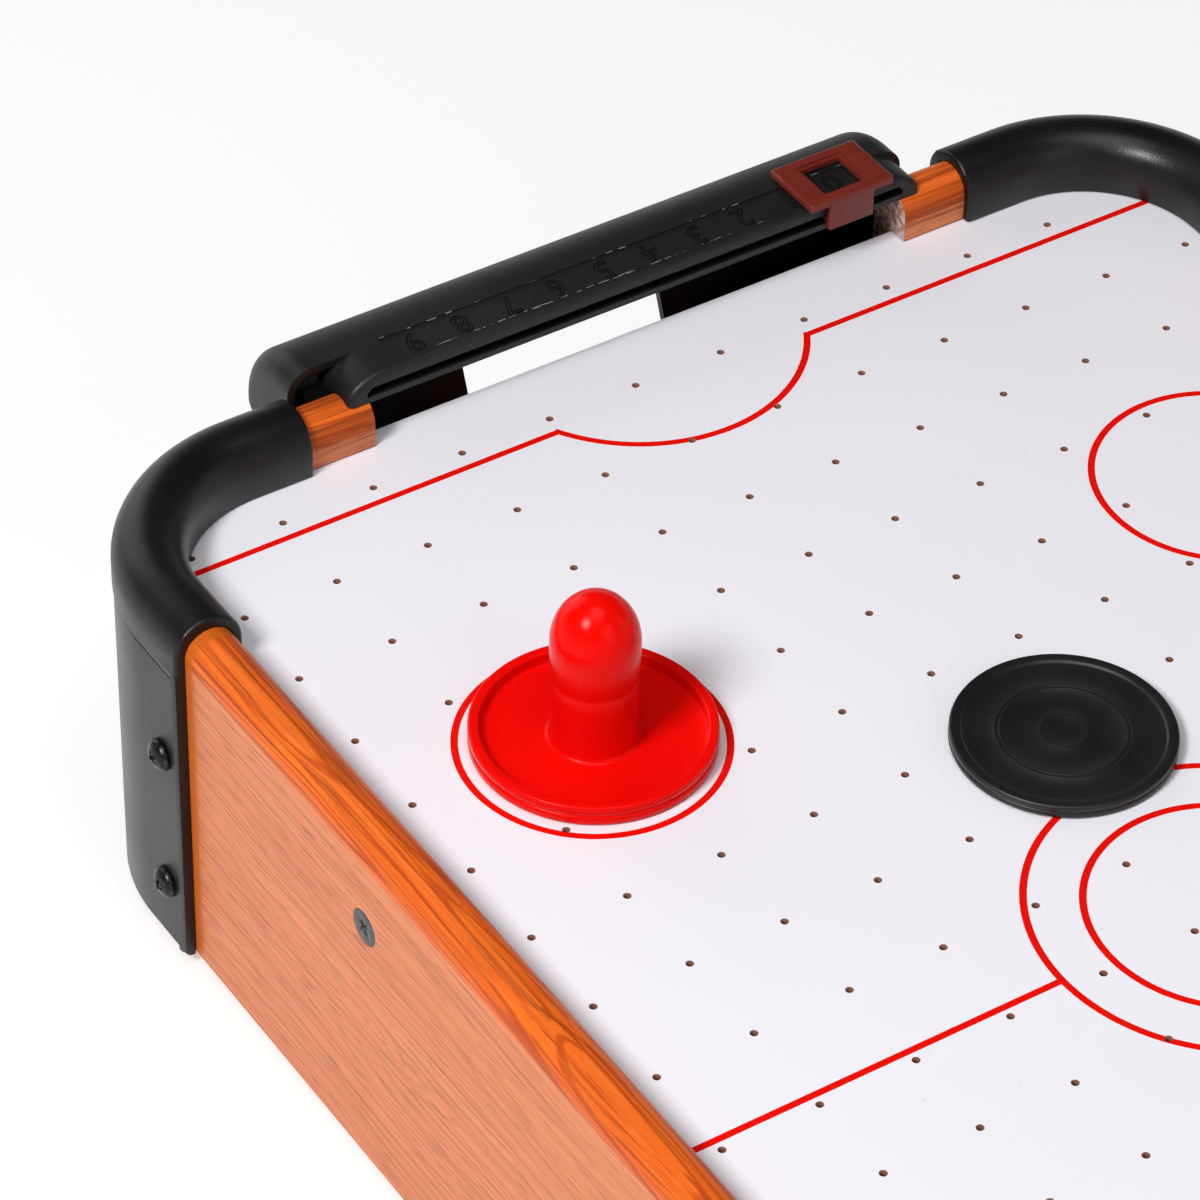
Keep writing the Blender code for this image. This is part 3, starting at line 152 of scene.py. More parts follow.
# Playing pieces
PUSHER_PLACE = (116.2 * MM, 88.1 * MM)
PUCK_PLACE = (-61.1 * MM, 0.8 * MM)

# Screws and switch
CAP_SCREW_X = 188.9 * MM
CAP_SCREW_Y = 109.0 * MM
CAP_SCREW_DROPS = (27.2 * MM, 67.2 * MM)
RAIL_SCREW_X = 103.4 * MM
RAIL_SCREW_Z = FIELD_Z - 13.0 * MM
HOOD_SCREW_Y = 60.0 * MM
HOOD_SCREW_Z = FIELD_Z - 39.0 * MM
BASE_SCREW_SPREAD = (150.0 * MM, 136.0 * MM)
BASE_SCREW_END = (222.0 * MM, 60.0 * MM)
BASE_SCREW_Z = 8.0 * MM - GAP
SCREW_TURNS = (0, 1.5)
SWITCH_X = 60.0 * MM
SWITCH_Z = 45.0 * MM
SWITCH_HALF = (9.8 * MM, 6.7 * MM)

# Camera, room and lights: each light has a place, a point it faces, a size and its watts
CAMERA_PLACE = (0.6485, -0.5973, 0.9235)
CAMERA_FORWARD = (-0.62930, 0.41980, -0.65402)
CAMERA_UP = (-0.55710, 0.34309, 0.75626)
CAMERA_LENS = 167.74
FLOOR_SIZE = 6.0
FLOOR_WHITE = (0.56, 0.56, 0.56)
FLOOR_GLOW = 0.47
ROOM_GLOW = 0.05
HORIZON_GLOW = 0.9
HORIZON_FADE = (0.02, 0.30)
LIGHTS = {
    "key": ((0.13, -1.09, 1.27), (0, 0, 0.1), 0.42, 20),
    "overhead": ((0.15, -0.2, 1.75), (0, 0, 0.08), 1.0, 9),
    "left_fill": ((-1.42, -0.27, 0.70), (-0.1, 0, 0.08), 0.9, 3.5),
    "right_fill": ((1.35, 0.05, 0.90), (0, 0, 0.08), 0.9, 3),
    "back_fill": ((0.75, 1.25, 0.75), (0, 0, 0.08), 0.8, 1.2),
}


# ---------------------------------------------------------------- camera, floor and light

def make_camera():
    """The camera, close above the front rail, looking down at the left goal."""
    data = bpy.data.cameras.new("camera")
    data.lens = CAMERA_LENS
    data.sensor_width = 36.0
    data.clip_start = 0.05
    camera = link("camera", data)
    forward = Vector(CAMERA_FORWARD).normalized()
    up = Vector(CAMERA_UP).normalized()
    turn = Matrix((forward.cross(up), up, -forward)).transposed().to_4x4()
    camera.matrix_world = Matrix.Translation(CAMERA_PLACE) @ turn
    bpy.context.scene.camera = camera


def make_light(name, place, target, size, watts):
    """A square soft light that faces a point."""
    data = bpy.data.lights.new(name, "AREA")
    data.shape = "SQUARE"
    data.size = size
    data.energy = watts
    light = link(name, data)
    aim = (Vector(target) - Vector(place)).to_track_quat("-Z", "Y")
    light.matrix_world = Matrix.Translation(place) @ aim.to_matrix().to_4x4()


def make_room():
    """A dim room that brightens towards the horizon."""
    world = bpy.data.worlds.new("room")
    world.use_nodes = True
    nodes, links = world.node_tree.nodes, world.node_tree.links
    split = nodes.new("ShaderNodeSeparateXYZ")
    fade = nodes.new("ShaderNodeMapRange")
    links.new(nodes.new("ShaderNodeTexCoord").outputs["Generated"], split.inputs[0])
    links.new(split.outputs["Z"], fade.inputs[0])
    for i, value in enumerate((*HORIZON_FADE, HORIZON_GLOW, ROOM_GLOW), 1):
        fade.inputs[i].default_value = value
    links.new(fade.outputs[0], nodes["Background"].inputs["Strength"])
    nodes["Background"].inputs["Color"].default_value = (1, 1, 1, 1)
    bpy.context.scene.world = world


def make_studio():
    """A white, faintly glowing floor, a dim room, and a key light with four soft ones."""
    make_room()
    shape = bmesh.new()
    bmesh.ops.create_grid(shape, x_segments=1, y_segments=1, size=FLOOR_SIZE)
    mesh = finished(shape, "floor")
    floor = link("floor", mesh)
    look = Look("studio_white", FLOOR_WHITE, 0.9)
    look.set("Specular IOR Level", 0.0)
    look.set("Emission Color", (1, 1, 1, 1))
    look.set("Emission Strength", FLOOR_GLOW)
    mesh.materials.append(look.material)
    for name, settings in LIGHTS.items():
        make_light(name, *settings)
    bpy.context.scene.view_settings.view_transform = "Standard"


# ---------------------------------------------------------------- materials

class Look:
    """A Principled material under construction."""

    def __init__(self, name, colour=(0.8, 0.8, 0.8), roughness=0.5):
        self.material = bpy.data.materials.new(name)
        self.material.use_nodes = True
        self.tree = self.material.node_tree
        self.shader = self.tree.nodes["Principled BSDF"]
        self.set("Base Color", (*colour, 1.0))
        self.set("Roughness", roughness)
        self.place = self.tree.nodes.new("ShaderNodeTexCoord").outputs["Object"]

    def feed(self, socket, value):
        """Link a node's output to a socket, or give the socket a value."""
        if isinstance(value, bpy.types.NodeSocket):
            self.tree.links.new(value, socket)
        else:
            socket.default_value = value

    def set(self, socket, value):
        """Set one of the shader's own sockets, or link something to it."""
        self.feed(self.shader.inputs[socket], value)

    def node(self, kind, inputs, **settings):
        """Add a node with its inputs set or linked, and return it."""
        node = self.tree.nodes.new("ShaderNode" + kind)
        for name, value in settings.items():
            setattr(node, name, value)
        for key, value in inputs.items():
            self.feed(node.inputs[key], value)
        return node

    def math(self, operation, first, second=0.0):
        """One arithmetic step on numbers or sockets."""
        return self.node("Math", {0: first, 1: second}, operation=operation).outputs[0]

    def noise(self, scale, detail=2.0, rough=0.5, distortion=0.0, place=None):
        """Noise from 0 to 1, with so many features per metre along each axis."""
        if not isinstance(scale, tuple):
            scale = (scale, scale, scale)
        stretched = self.node("Mapping", {"Vector": place or self.place, "Scale": scale}).outputs[0]
        inputs = {"Vector": stretched, "Scale": 1.0, "Detail": detail}
        inputs.update({"Roughness": rough, "Distortion": distortion})
        return self.node("TexNoise", inputs).outputs["Fac"]

    def spread(self, value, low, high, out_low=0.0, out_high=1.0, smooth=False):
        """Map a range of a value to another range, held at both ends."""
        inputs = {0: value, 1: low, 2: high, 3: out_low, 4: out_high}
        kind = "SMOOTHSTEP" if smooth else "LINEAR"
        return self.node("MapRange", inputs, interpolation_type=kind).outputs[0]

    def mix(self, share, first, second):
        """Mix two colours."""
        node = self.node("Mix", {0: share}, data_type="RGBA")
        for key, value in ((6, first), (7, second)):
            self.feed(node.inputs[key], (*value, 1.0) if isinstance(value, tuple) else value)
        return node.outputs[2]

    def axis(self, letter, source=None):
        """One coordinate of the place, or of another vector."""
        return self.node("SeparateXYZ", {0: source or self.place}).outputs[letter]

    def bump(self, height, depth, strength=1.0):
        """Raise the surface by a height from 0 to 1 times a depth in metres."""
        inputs = {"Height": height, "Distance": depth, "Strength": strength}
        self.set("Normal", self.node("Bump", inputs).outputs[0])

    def paint(self, noise, dark, light, dull=None, ends=None):
        """Colour the surface from dark to light by a noise, which may vary its roughness too."""
        share = self.spread(noise, *ends) if ends else noise
        self.set("Base Color", self.mix(share, dark, light))
        if dull:
            self.set("Roughness", self.spread(noise, 0.3, 0.7, *dull))


def grain_scale(along, run, across):
    """Features per metre with the grain and across it, in the object's axes."""
    return (run, across, across) if along == "X" else (across, run, across)


# Wood grain, from the base up: a pattern, the range of it that shows, its share and its colour
SIDE_BANDS = (0.3, 0.72), (0.745, 0.246, 0.102), (0.670, 0.205, 0.080)
SIDE_GRAIN = (
    ("fibres", 0.42, 0.75, 0.6, (0.50, 0.150, 0.062)),
    ("growth", 0.50, 0.95, 0.35, (0.46, 0.125, 0.050)),
    ("hairs", 0.55, 0.61, 0.5, (0.40, 0.108, 0.042)),
    ("pores", 0.60, 0.68, 0.55, (0.30, 0.070, 0.028)),
)
TOP_BANDS = (0.25, 0.75), (0.86, 0.180, 0.020), (0.70, 0.112, 0.008)
TOP_GRAIN = (
    ("streaks", 0.45, 0.62, 0.6, (0.50, 0.070, 0.007)),
    ("growth", 0.35, 0.90, 0.7, (0.40, 0.045, 0.005)),
    ("hairs", 0.53, 0.60, 0.6, (0.30, 0.036, 0.004)),
    ("fibres", 0.55, 0.80, 0.5, (0.88, 0.29, 0.06)),
)
TOP_START = (92.9 * MM, 94.1 * MM)
# Painted shade: the darker colour of the rail top along its inner edge, next to the field
INNER_EDGE_SHADE = (0.25, 0.035, 0.006)


def layered(look, bands, base, grain, patterns):
    """A wood colour: two base colours in bands, with each pattern of the grain over them."""
    colour = look.mix(look.spread(bands, *base[0]), *base[1:])
    for pattern, low, high, share, tint in grain:
        colour = look.mix(look.spread(patterns[pattern], low, high, 0, share), colour, tint)
    return colour


def wood_look(along, name):
    """Clear-lacquered wood: pale straight-grained sides and a vivid streaked round top, with
    painted shade along the top's inner edge.
    """
    look = Look(name)
    look.set("Specular IOR Level", 0.16)
    wander = look.noise(grain_scale(along, 9.0, 26.0))
    sway = look.node("CombineXYZ", {"Z": look.math("MULTIPLY", wander, 0.010)}).outputs[0]
    bent = look.node("VectorMath", {0: look.place, 1: sway}, operation="ADD").outputs[0]

    def grain(run, across, *settings):
        return look.noise(grain_scale(along, run, across), *settings, place=bent)

    figure = grain(3.2, 55.0, 2.0, 0.5, 0.3)
    patterns = {
        "fibres": grain(12.0, 1300.0, 3.0, 0.65),
        "hairs": grain(5.0, 850.0, 2.0, 0.6),
        "pores": grain(90.0, 1500.0, 1.0),
        "streaks": grain(11.0, 300.0, 4.0, 0.7, 0.6),
        "growth": look.math("SINE", look.math("MULTIPLY", figure, 130.0)),
    }
    bands = grain(3.0, 90.0)
    side = layered(look, bands, SIDE_BANDS, SIDE_GRAIN, patterns)
    top = layered(look, bands, TOP_BANDS, TOP_GRAIN, patterns)
    rise = look.spread(look.axis("Z"), *TOP_START, smooth=True)
    colour = look.mix(rise, side, top)
    # Painted shade: the round top darkens within a couple of millimetres of its inner edge
    across = look.math("ABSOLUTE", look.axis("Y" if along == "X" else "X"))
    inner = INNER_Y if along == "X" else INNER_X
    shade = look.spread(across, inner + 0.2 * MM, inner + 2.2 * MM, 0.55, 0.0, smooth=True)
    colour = look.mix(look.math("MULTIPLY", shade, rise), colour, INNER_EDGE_SHADE)
    return look, colour, patterns


def side_wood():
    """The side rails' wood, with its grain along X and deeper orange where the caps begin."""
    look, colour, patterns = wood_look("X", "rail_wood")
    fibres, hairs = patterns["fibres"], patterns["hairs"]
    along = look.math("ABSOLUTE", look.axis("X"))
    edge = look.spread(along, CAP_END_X - 4.5 * MM, CAP_END_X - 2.0 * MM, 0.0, 0.85, smooth=True)
    colour = look.mix(edge, colour, (0.56, 0.115, 0.010))
    look.set("Base Color", colour)
    look.set("Roughness", look.spread(fibres, 0.3, 0.7, 0.32, 0.46))
    look.set("Coat Weight", 0.04)
    look.set("Coat Roughness", 0.2)
    look.bump(look.math("SUBTRACT", fibres, hairs), 0.12 * MM, 0.4)
    return look


def end_wood():
    """The end panels' wood: ribbed grain along Y, and pale frayed edges where the goal is cut."""
    look, colour, patterns = wood_look("Y", "end_wood")
    fibres = patterns["fibres"]
    ribs = look.noise((820.0, 7.0, 820.0), rough=0.6)
    colour = look.mix(look.spread(ribs, 0.50, 0.60, 0, 0.65), colour, (0.25, 0.048, 0.015))
    facing = look.node("NewGeometry", {}).outputs["Normal"]
    sawn = look.spread(look.math("ABSOLUTE", look.axis("Y", facing)), 0.6, 0.8)
    fray = look.noise(700.0, detail=3.0)
    board = look.mix(look.spread(fray, 0.35, 0.65), (0.30, 0.11, 0.06), (0.60, 0.50, 0.46))
    colour = look.mix(sawn, colour, board)
    look.set("Base Color", colour)
    look.set("Roughness", look.spread(fibres, 0.3, 0.7, 0.34, 0.5))
    look.set("Coat Weight", 0.03)
    look.set("Coat Roughness", 0.25)
    look.bump(look.math("SUBTRACT", fibres, ribs), 0.22 * MM, 0.6)
    return look


def field_laminate():
    """Glossy white laminate with a cool cast and the faintest mottling."""
    look = Look("field_laminate")
    cloud = look.noise(14.0, detail=3.0)
    white = look.mix(cloud, (0.865, 0.846, 0.900), (0.835, 0.816, 0.872))
    specks = look.noise(420.0, detail=1.0)
    white = look.mix(look.spread(specks, 0.80, 0.84, 0, 0.25), white, (0.45, 0.42, 0.44))
    look.set("Base Color", white)
    look.set("Roughness", look.spread(cloud, 0.0, 1.0, 0.22, 0.30))
    look.bump(look.noise(900.0, detail=1.0), 0.01 * MM, 0.2)
    return look


def hardboard():
    """Brown pressed board with a fibrous, mottled face."""
    look = Look("hardboard", roughness=0.75)
    fibre = look.noise((300.0, 900.0, 300.0), detail=4.0, rough=0.7)
    cloud = look.noise(22.0, detail=3.0)
    brown = look.mix(fibre, (0.13, 0.062, 0.030), (0.27, 0.150, 0.080))
    blotch = look.spread(cloud, 0.3, 0.7, 0, 0.5)
    look.set("Base Color", look.mix(blotch, brown, (0.19, 0.10, 0.05)))
    look.bump(fibre, 0.10 * MM, 0.6)
    return look


def batten_wood():
    """Raw sawn softwood with its grain along Y."""
    look = Look("batten_wood", roughness=0.7)
    fibre = look.noise((500.0, 9.0, 500.0), detail=3.0)
    rings = look.noise((130.0, 2.0, 130.0), detail=1.0)
    wood = look.mix(fibre, (0.58, 0.38, 0.19), (0.70, 0.50, 0.28))
    late = look.spread(rings, 0.45, 0.6, 0, 0.6)
    look.set("Base Color", look.mix(late, wood, (0.45, 0.26, 0.11)))
    look.bump(fibre, 0.15 * MM, 0.6)
    return look


# Black plastics: dark and light colour, roughness, the pebbles per metre of the skin and their
# depth in millimetres, and how much light the surface throws back
BLACKS = {
    "black_plastic": ((0.0038, 0.0036, 0.0038), (0.0052, 0.005, 0.0052), 0.34, 1700.0, 0.08, 0.36),
    "hood_plastic": ((0.0055, 0.0052, 0.0055), (0.0085, 0.0082, 0.0087), 0.48, 1500.0, 0.06, 0.42),
    "digit_plastic": ((0.0008, 0.0008, 0.0008), (0.0014, 0.0014, 0.0014), 0.7, 1500.0, 0.03, 0.12),
    # The flash beads' light grey is a painted highlight along the score strip's edges
    "flash_painted_highlight": ((0.10, 0.10, 0.105), (0.24, 0.24, 0.245), 0.6, 1500.0, 0.04, 0.5),
    "foot_rubber": ((0.018, 0.018, 0.018), (0.028, 0.028, 0.028), 0.85, 1200.0, 0.08, 0.5),
    "fan_plastic": ((0.020, 0.020, 0.022), (0.028, 0.028, 0.031), 0.42, 1100.0, 0.05, 0.5),
    "cable_sheath": ((0.014, 0.014, 0.014), (0.022, 0.022, 0.022), 0.5, 1500.0, 0.04, 0.5),
}

# Plain materials: a noise, the colours at its two ends, the range of the roughness, the part of the
# noise that the colours span, the bump's own noise, its depth in millimetres and its strength
PLAIN = {
    "bare_fibreboard": dict(
        noise=(2600.0, 3.0), dark=(0.125, 0.042, 0.022), light=(0.31, 0.130, 0.078),
        bump=(0.08, 1.0), sockets={"Roughness": 0.9},
    ),
    "line_ink": dict(
        noise=(500.0,), dark=(0.80, 0.0045, 0.0010), light=(0.76, 0.0040, 0.0010),
        dull=(0.2, 0.34), sockets={"Specular IOR Level": 0.2},
    ),
    "slider_plastic": dict(
        noise=(220.0,), dark=(0.16, 0.020, 0.012), light=(0.22, 0.030, 0.018),
        dull=(0.12, 0.26), skin=(900.0,), bump=(0.03, 0.3),
        sockets={"Specular IOR Level": 0.25, "Transmission Weight": 0.15, "IOR": 1.49},
    ),
    "red_plastic": dict(
        noise=(40.0,), dark=(0.84, 0.0030, 0.0010), light=(0.76, 0.0022, 0.0008),
        dull=(0.18, 0.28), skin=(240.0,), bump=(0.015, 0.3),
        sockets={"Specular IOR Level": 0.1, "Subsurface Weight": 0.05,
                 "Subsurface Radius": (0.004, 0.0004, 0.0003), "Subsurface Scale": 1.0},
    ),
    "puck_plastic": dict(
        noise=(60.0, 3.0), dark=(0.0050, 0.0050, 0.0050), light=(0.0075, 0.0075, 0.0075),
        dull=(0.33, 0.46), skin=(1500.0,), bump=(0.02, 0.5),
    ),
    "white_felt": dict(
        noise=(2500.0, 4.0, 0.7), dark=(0.62, 0.61, 0.59), light=(0.82, 0.81, 0.79),
        bump=(0.25, 1.0), sockets={"Roughness": 0.95, "Sheen Weight": 0.4},
    ),
    "black_screw": dict(
        noise=(900.0, 3.0), dark=(0.016, 0.016, 0.018), light=(0.10, 0.10, 0.105),
        dull=(0.20, 0.36), ends=(0.5, 0.8), bump=(0.03, 0.5), sockets={"Metallic": 0.75},
    ),
    "grey_screw": dict(
        noise=(800.0, 4.0), dark=(0.045, 0.045, 0.050), light=(0.13, 0.13, 0.14),
        dull=(0.28, 0.5), ends=(0.35, 0.7), bump=(0.03, 0.5), sockets={"Metallic": 0.85},
    ),
    "impeller_plastic": dict(
        noise=(90.0, 3.0), dark=(0.74, 0.74, 0.71), light=(0.82, 0.82, 0.80),
        skin=(700.0,), bump=(0.02, 0.4),
        sockets={"Roughness": 0.35, "Subsurface Weight": 0.2,
                 "Subsurface Radius": (0.002, 0.002, 0.002)},
    ),
    "motor_steel": dict(
        noise=((900.0, 900.0, 14.0),), dark=(0.48, 0.48, 0.49), light=(0.62, 0.62, 0.63),
        dull=(0.22, 0.38), bump=(0.02, 0.4), sockets={"Metallic": 1.0},
    ),
}


def plain(name, noise, dark, light, dull=None, ends=None, skin=None, bump=None, sockets=None):
    """A material with one noise in its colour, and a bump from that noise or its own skin."""
    look = Look(name)
    pattern = look.noise(*noise)
    look.paint(pattern, dark, light, dull, ends)
    for socket, value in (sockets or {}).items():
        look.set(socket, value)
    if bump:
        look.bump(look.noise(*skin) if skin else pattern, bump[0] * MM, bump[1])
    return look


def moulded(name, dark, light, roughness, pebbles, depth, specular):
    """Moulded plastic with a fine pebbled skin and faint rubbed patches."""
    return plain(
        name, (30.0, 3.0), dark, light, (roughness - 0.05, roughness + 0.07), (0.35, 0.68),
        (pebbles, 2.0, 0.6), (depth, 0.6), {"Specular IOR Level": specular},
    )


MAKERS = {
    "side_wood": side_wood,
    "end_wood": end_wood,
    "field_laminate": field_laminate,
    "hardboard": hardboard,
    "batten_wood": batten_wood,
}
LOOKS = {}


def look_material(name):
    """The finished material of that name, made on its first use."""
    if name not in LOOKS:
        if name in MAKERS:
            look = MAKERS[name]()
        elif name in BLACKS:
            look = moulded(name, *BLACKS[name])
        else:
            look = plain(name, **PLAIN[name])
        LOOKS[name] = look.material
    return LOOKS[name]


# ---------------------------------------------------------------- mesh helpers

def link(name, data):
    """Add an object to the scene."""
    item = bpy.data.objects.new(name, data)
    bpy.context.scene.collection.objects.link(item)
    return item


def finished(shape, name):
    """The mesh of a finished edit."""
    mesh = bpy.data.meshes.new(name)
    shape.to_mesh(mesh)
    shape.free()
    return mesh


def baked(item):
    """The object's mesh with its modifiers applied; the object is removed."""
    graph = bpy.context.evaluated_depsgraph_get()
    mesh = bpy.data.meshes.new_from_object(item.evaluated_get(graph))
    bpy.data.objects.remove(item)
    return mesh


def tidied(mesh):
    """Weld loose caps and turn the faces outwards."""
    shape = bmesh.new()
    shape.from_mesh(mesh)
    bmesh.ops.remove_doubles(shape, verts=shape.verts, dist=WELD)
    bmesh.ops.recalc_face_normals(shape, faces=shape.faces)
    shape.to_mesh(mesh)
    shape.free()
    return mesh


def combine(mesh, others, operation):
    """Cut or join one mesh with others, one after another."""
    for other in others:
        base = link("base", mesh)
        cutter = link("cutter", other)
        modifier = base.modifiers.new("combine", "BOOLEAN")
        modifier.operation = operation
        modifier.object = cutter
        modifier.solver = "EXACT"
        mesh = baked(base)
        bpy.data.objects.remove(cutter)
    return mesh


def cut(mesh, *others):
    """Take the other meshes away from a mesh."""
    return combine(mesh, others, "DIFFERENCE")


def join(mesh, *others):
    """Unite a mesh with the others."""
    return combine(mesh, others, "UNION")


def moved(mesh, matrix):
    """A transformed copy of a mesh."""
    copy = mesh.copy()
    copy.transform(matrix)
    if matrix.determinant() < 0:
        copy.flip_normals()
    return copy


def together(*meshes):
    """One mesh that holds several separate bodies."""
    shape = bmesh.new()
    for mesh in meshes:
        shape.from_mesh(mesh)
    return finished(shape, "together")


def block(low, high):
    """A box between two corners, as a cutter or a blank."""
    low, high = Vector(low), Vector(high)
    shape = bmesh.new()
    bmesh.ops.create_cube(shape, size=1.0)
    bmesh.ops.scale(shape, vec=high - low, verts=shape.verts)
    bmesh.ops.translate(shape, vec=(low + high) / 2, verts=shape.verts)
    return finished(shape, "block")


PLANES = {
    "XY": Matrix.Identity(4),
    "XZ": Matrix(((1, 0, 0, 0), (0, 0, 1, 0), (0, 1, 0, 0), (0, 0, 0, 1))),
    "YZ": Matrix(((0, 0, 1, 0), (1, 0, 0, 0), (0, 1, 0, 0), (0, 0, 0, 1))),
}


def plate(loops, low, high, plane="XY"):
    """Extrude flat outlines, the first outside and the rest holes, between two levels."""
    curve = bpy.data.curves.new("outline", "CURVE")
    curve.dimensions = "2D"
    curve.fill_mode = "BOTH"
    curve.extrude = (high - low) / 2
    for loop in loops:
        spline = curve.splines.new("POLY")
        spline.points.add(len(loop) - 1)
        for point, (across, up) in zip(spline.points, loop):
            point.co = (across, up, 0.0, 1.0)
        spline.use_cyclic_u = True
    mesh = baked(link("outline", curve))
    mesh.transform(Matrix.Translation((0, 0, (low + high) / 2)))
    mesh.transform(PLANES[plane])
    return tidied(mesh)


def softened_prism(loop, low, high, plane, chosen, offset, segments):
    """Extrude one outline and round the end edges that the chosen function picks."""
    shape = bmesh.new()
    face = shape.faces.new([shape.verts.new((across, up, low)) for across, up in loop])
    grown = bmesh.ops.extrude_face_region(shape, geom=[face])["geom"]
    top = [part for part in grown if isinstance(part, bmesh.types.BMVert)]
    bmesh.ops.translate(shape, vec=(0, 0, high - low), verts=top)
    edges = [edge for edge in shape.edges if chosen([vert.co for vert in edge.verts])]
    settings = {"offset": offset, "segments": segments, "profile": 0.5, "affect": "EDGES"}
    bmesh.ops.bevel(shape, geom=edges, clamp_overlap=False, **settings)
    mesh = finished(shape, "prism")
    mesh.transform(PLANES[plane])
    return tidied(mesh)


def lofted(rings):
    """Skin a row of rings of points into one closed body."""
    shape = bmesh.new()
    grid = [[shape.verts.new(point) for point in ring] for ring in rings]
    for first, second in zip(grid, grid[1:]):
        for i in range(len(first)):
            shape.faces.new((first[i - 1], first[i], second[i], second[i - 1]))
    shape.faces.new(grid[0])
    shape.faces.new(grid[-1])
    return tidied(finished(shape, "loft"))


def turned(profile, steps, unit=1.0):
    """Turn (radius, height) points in some unit, top to bottom, about the Z axis."""
    mesh = bpy.data.meshes.new("profile")
    points = [(radius * unit, 0.0, height * unit) for radius, height in profile]
    mesh.from_pydata(points, [(i, i + 1) for i in range(len(points) - 1)], [])
    item = link("profile", mesh)
    screw = item.modifiers.new("turn", "SCREW")
    screw.steps = steps
    screw.render_steps = steps
    screw.use_merge_vertices = True
    screw.merge_threshold = WELD
    return tidied(baked(item))


def aimed(place, direction, roll=0.0):
    """A matrix that puts +Z along a direction at a place, turned about it by a roll."""
    turn = Vector(direction).to_track_quat("Z", "Y").to_matrix().to_4x4()
    return Matrix.Translation(place) @ turn @ Matrix.Rotation(roll, 4, "Z")


def rod(start, end, radius, sides):
    """A straight round bar between two points."""
    start, end = Vector(start), Vector(end)
    length = (end - start).length
    mesh = turned([(0, length), (radius, length), (radius, 0), (0, 0)], sides)
    mesh.transform(aimed(start, end - start))
    return mesh


def arc(centre, radius, start, end, steps):
    """Points on an arc in degrees; radius is one number or a pair for an ellipse."""
    wide, high = radius if isinstance(radius, tuple) else (radius, radius)
    points = []
    for i in range(steps + 1):
        angle = math.radians(start + (end - start) * i / steps)
        points.append((centre[0] + wide * math.cos(angle), centre[1] + high * math.sin(angle)))
    return points


def circle(centre, radius, sides):
    """A closed round outline."""
    return arc(centre, radius, 0, 360, sides)[:-1]


def soften(item, name, width, segments, angle):
    """Round an object's edges that are sharper than an angle, with a modifier."""
    modifier = item.modifiers.new(name, "BEVEL")
    modifier.width = width
    modifier.segments = segments
    modifier.limit_method = "ANGLE"
    modifier.angle_limit = math.radians(angle)
    modifier.use_clamp_overlap = True


def bevelled(mesh, width, segments, angle):
    """The mesh with its sharper edges rounded."""
    item = link("bevelled", mesh)
    soften(item, "round", width, segments, angle)
    return baked(item)


def piece(name, mesh, look, body, nodes=(), slot=None, matrix=None, smooth=35):
    """Show a mesh as a piece of the table that rides on a body and replaces CAD nodes."""
    item = link(name, mesh)
    if not mesh.materials:
        mesh.materials.append(look_material(look))
    if smooth is not None:
        mesh.shade_smooth()
        mesh.set_sharp_from_angle(angle=math.radians(smooth))
    if matrix is not None:
        item.matrix_world = matrix
    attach(item, body)
    if nodes:
        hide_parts(*nodes)
    slot or look
    return item


# ---------------------------------------------------------------- wood frame and field

def plank_section(inner):
    """Cross-section of a plank with a half-round top, its field groove and its base rebate."""
    outer = inner + WOOD
    radius = WOOD / 2
    deep = inner + GROOVE_DEPTH
    soft = 0.5 * MM
    points = [(outer - soft, GROUND_GAP), (outer, GROUND_GAP + soft)]
    points += arc((inner + radius, RAIL_TOP - radius), radius, 0, 180, 40)
    points += [
        (inner, FIELD_Z + GAP),
        (deep, FIELD_Z + GAP),
        (deep, FIELD_Z - FIELD_THICKNESS - GAP),
        (inner, FIELD_Z - FIELD_THICKNESS - GAP),
        (inner, BASE_TOP + GAP),
        (deep, BASE_TOP + GAP),
        (deep, GROUND_GAP),
    ]
    return points


def plank(inner, half_length, plane, flip):
    """A plank with mitred ends."""
    section = [(flip * across, up) for across, up in plank_section(inner)]
    mesh = plate([section], -half_length, half_length, plane)
    run, across = (0, 1) if plane == "YZ" else (1, 0)
    for vertex in mesh.vertices:
        extra = inner + WOOD - abs(vertex.co[across])
        vertex.co[run] += math.copysign(extra, vertex.co[run])
    return mesh


def make_rails():
    """The side rails, countersunk for their screws, and the end panels, cut for the goals."""
    sink = turned([(0, 1), (5.6, 1), (4.75, 0), (1.9, -3), (0, -3)], 48, MM)
    for name, side in (("front_side_rail", -1), ("back_side_rail", 1)):
        mesh = plank(INNER_Y, CORNER_X, "YZ", side)
        tools = []
        for end in (-1, 1):
            place = (end * RAIL_SCREW_X, side * OUTER_Y, RAIL_SCREW_Z)
            tools.append(moved(sink, aimed(place, (0, side, 0))))
        if side > 0:
            wide, tall = SWITCH_HALF
            low = (SWITCH_X - wide, INNER_Y - MM, SWITCH_Z - tall)
            tools.append(block(low, (SWITCH_X + wide, OUTER_Y + MM, SWITCH_Z + tall)))
        mesh = cut(mesh, together(*tools))
        piece(name + "_wood", mesh, "side_wood", "table", [name], smooth=25)
    mesh = plank(INNER_X, CORNER_Y, "XZ", -1)
    ramp_x, ramp_z = NOTCH_RAMP
    near, far, above = -INNER_X + MM, -OUTER_X - MM, RAIL_TOP + MM
    notch = [(near, NOTCH_FLOOR), (near, above), (far, above), (far, ramp_z - (-far - ramp_x))]
    notch += [(-ramp_x, ramp_z), (-ramp_x, NOTCH_FLOOR)]
    mesh = cut(mesh, plate([notch], -GOAL_HALF_WIDTH, GOAL_HALF_WIDTH, "XZ"))
    mesh = bevelled(mesh, 0.35 * MM, 2, 50)
    for name, matrix in (("left_end_panel", None), ("right_end_panel", HALF_TURN)):
        piece(name + "_wood", mesh, "end_wood", "table", [name], "side_wood", matrix, smooth=25)


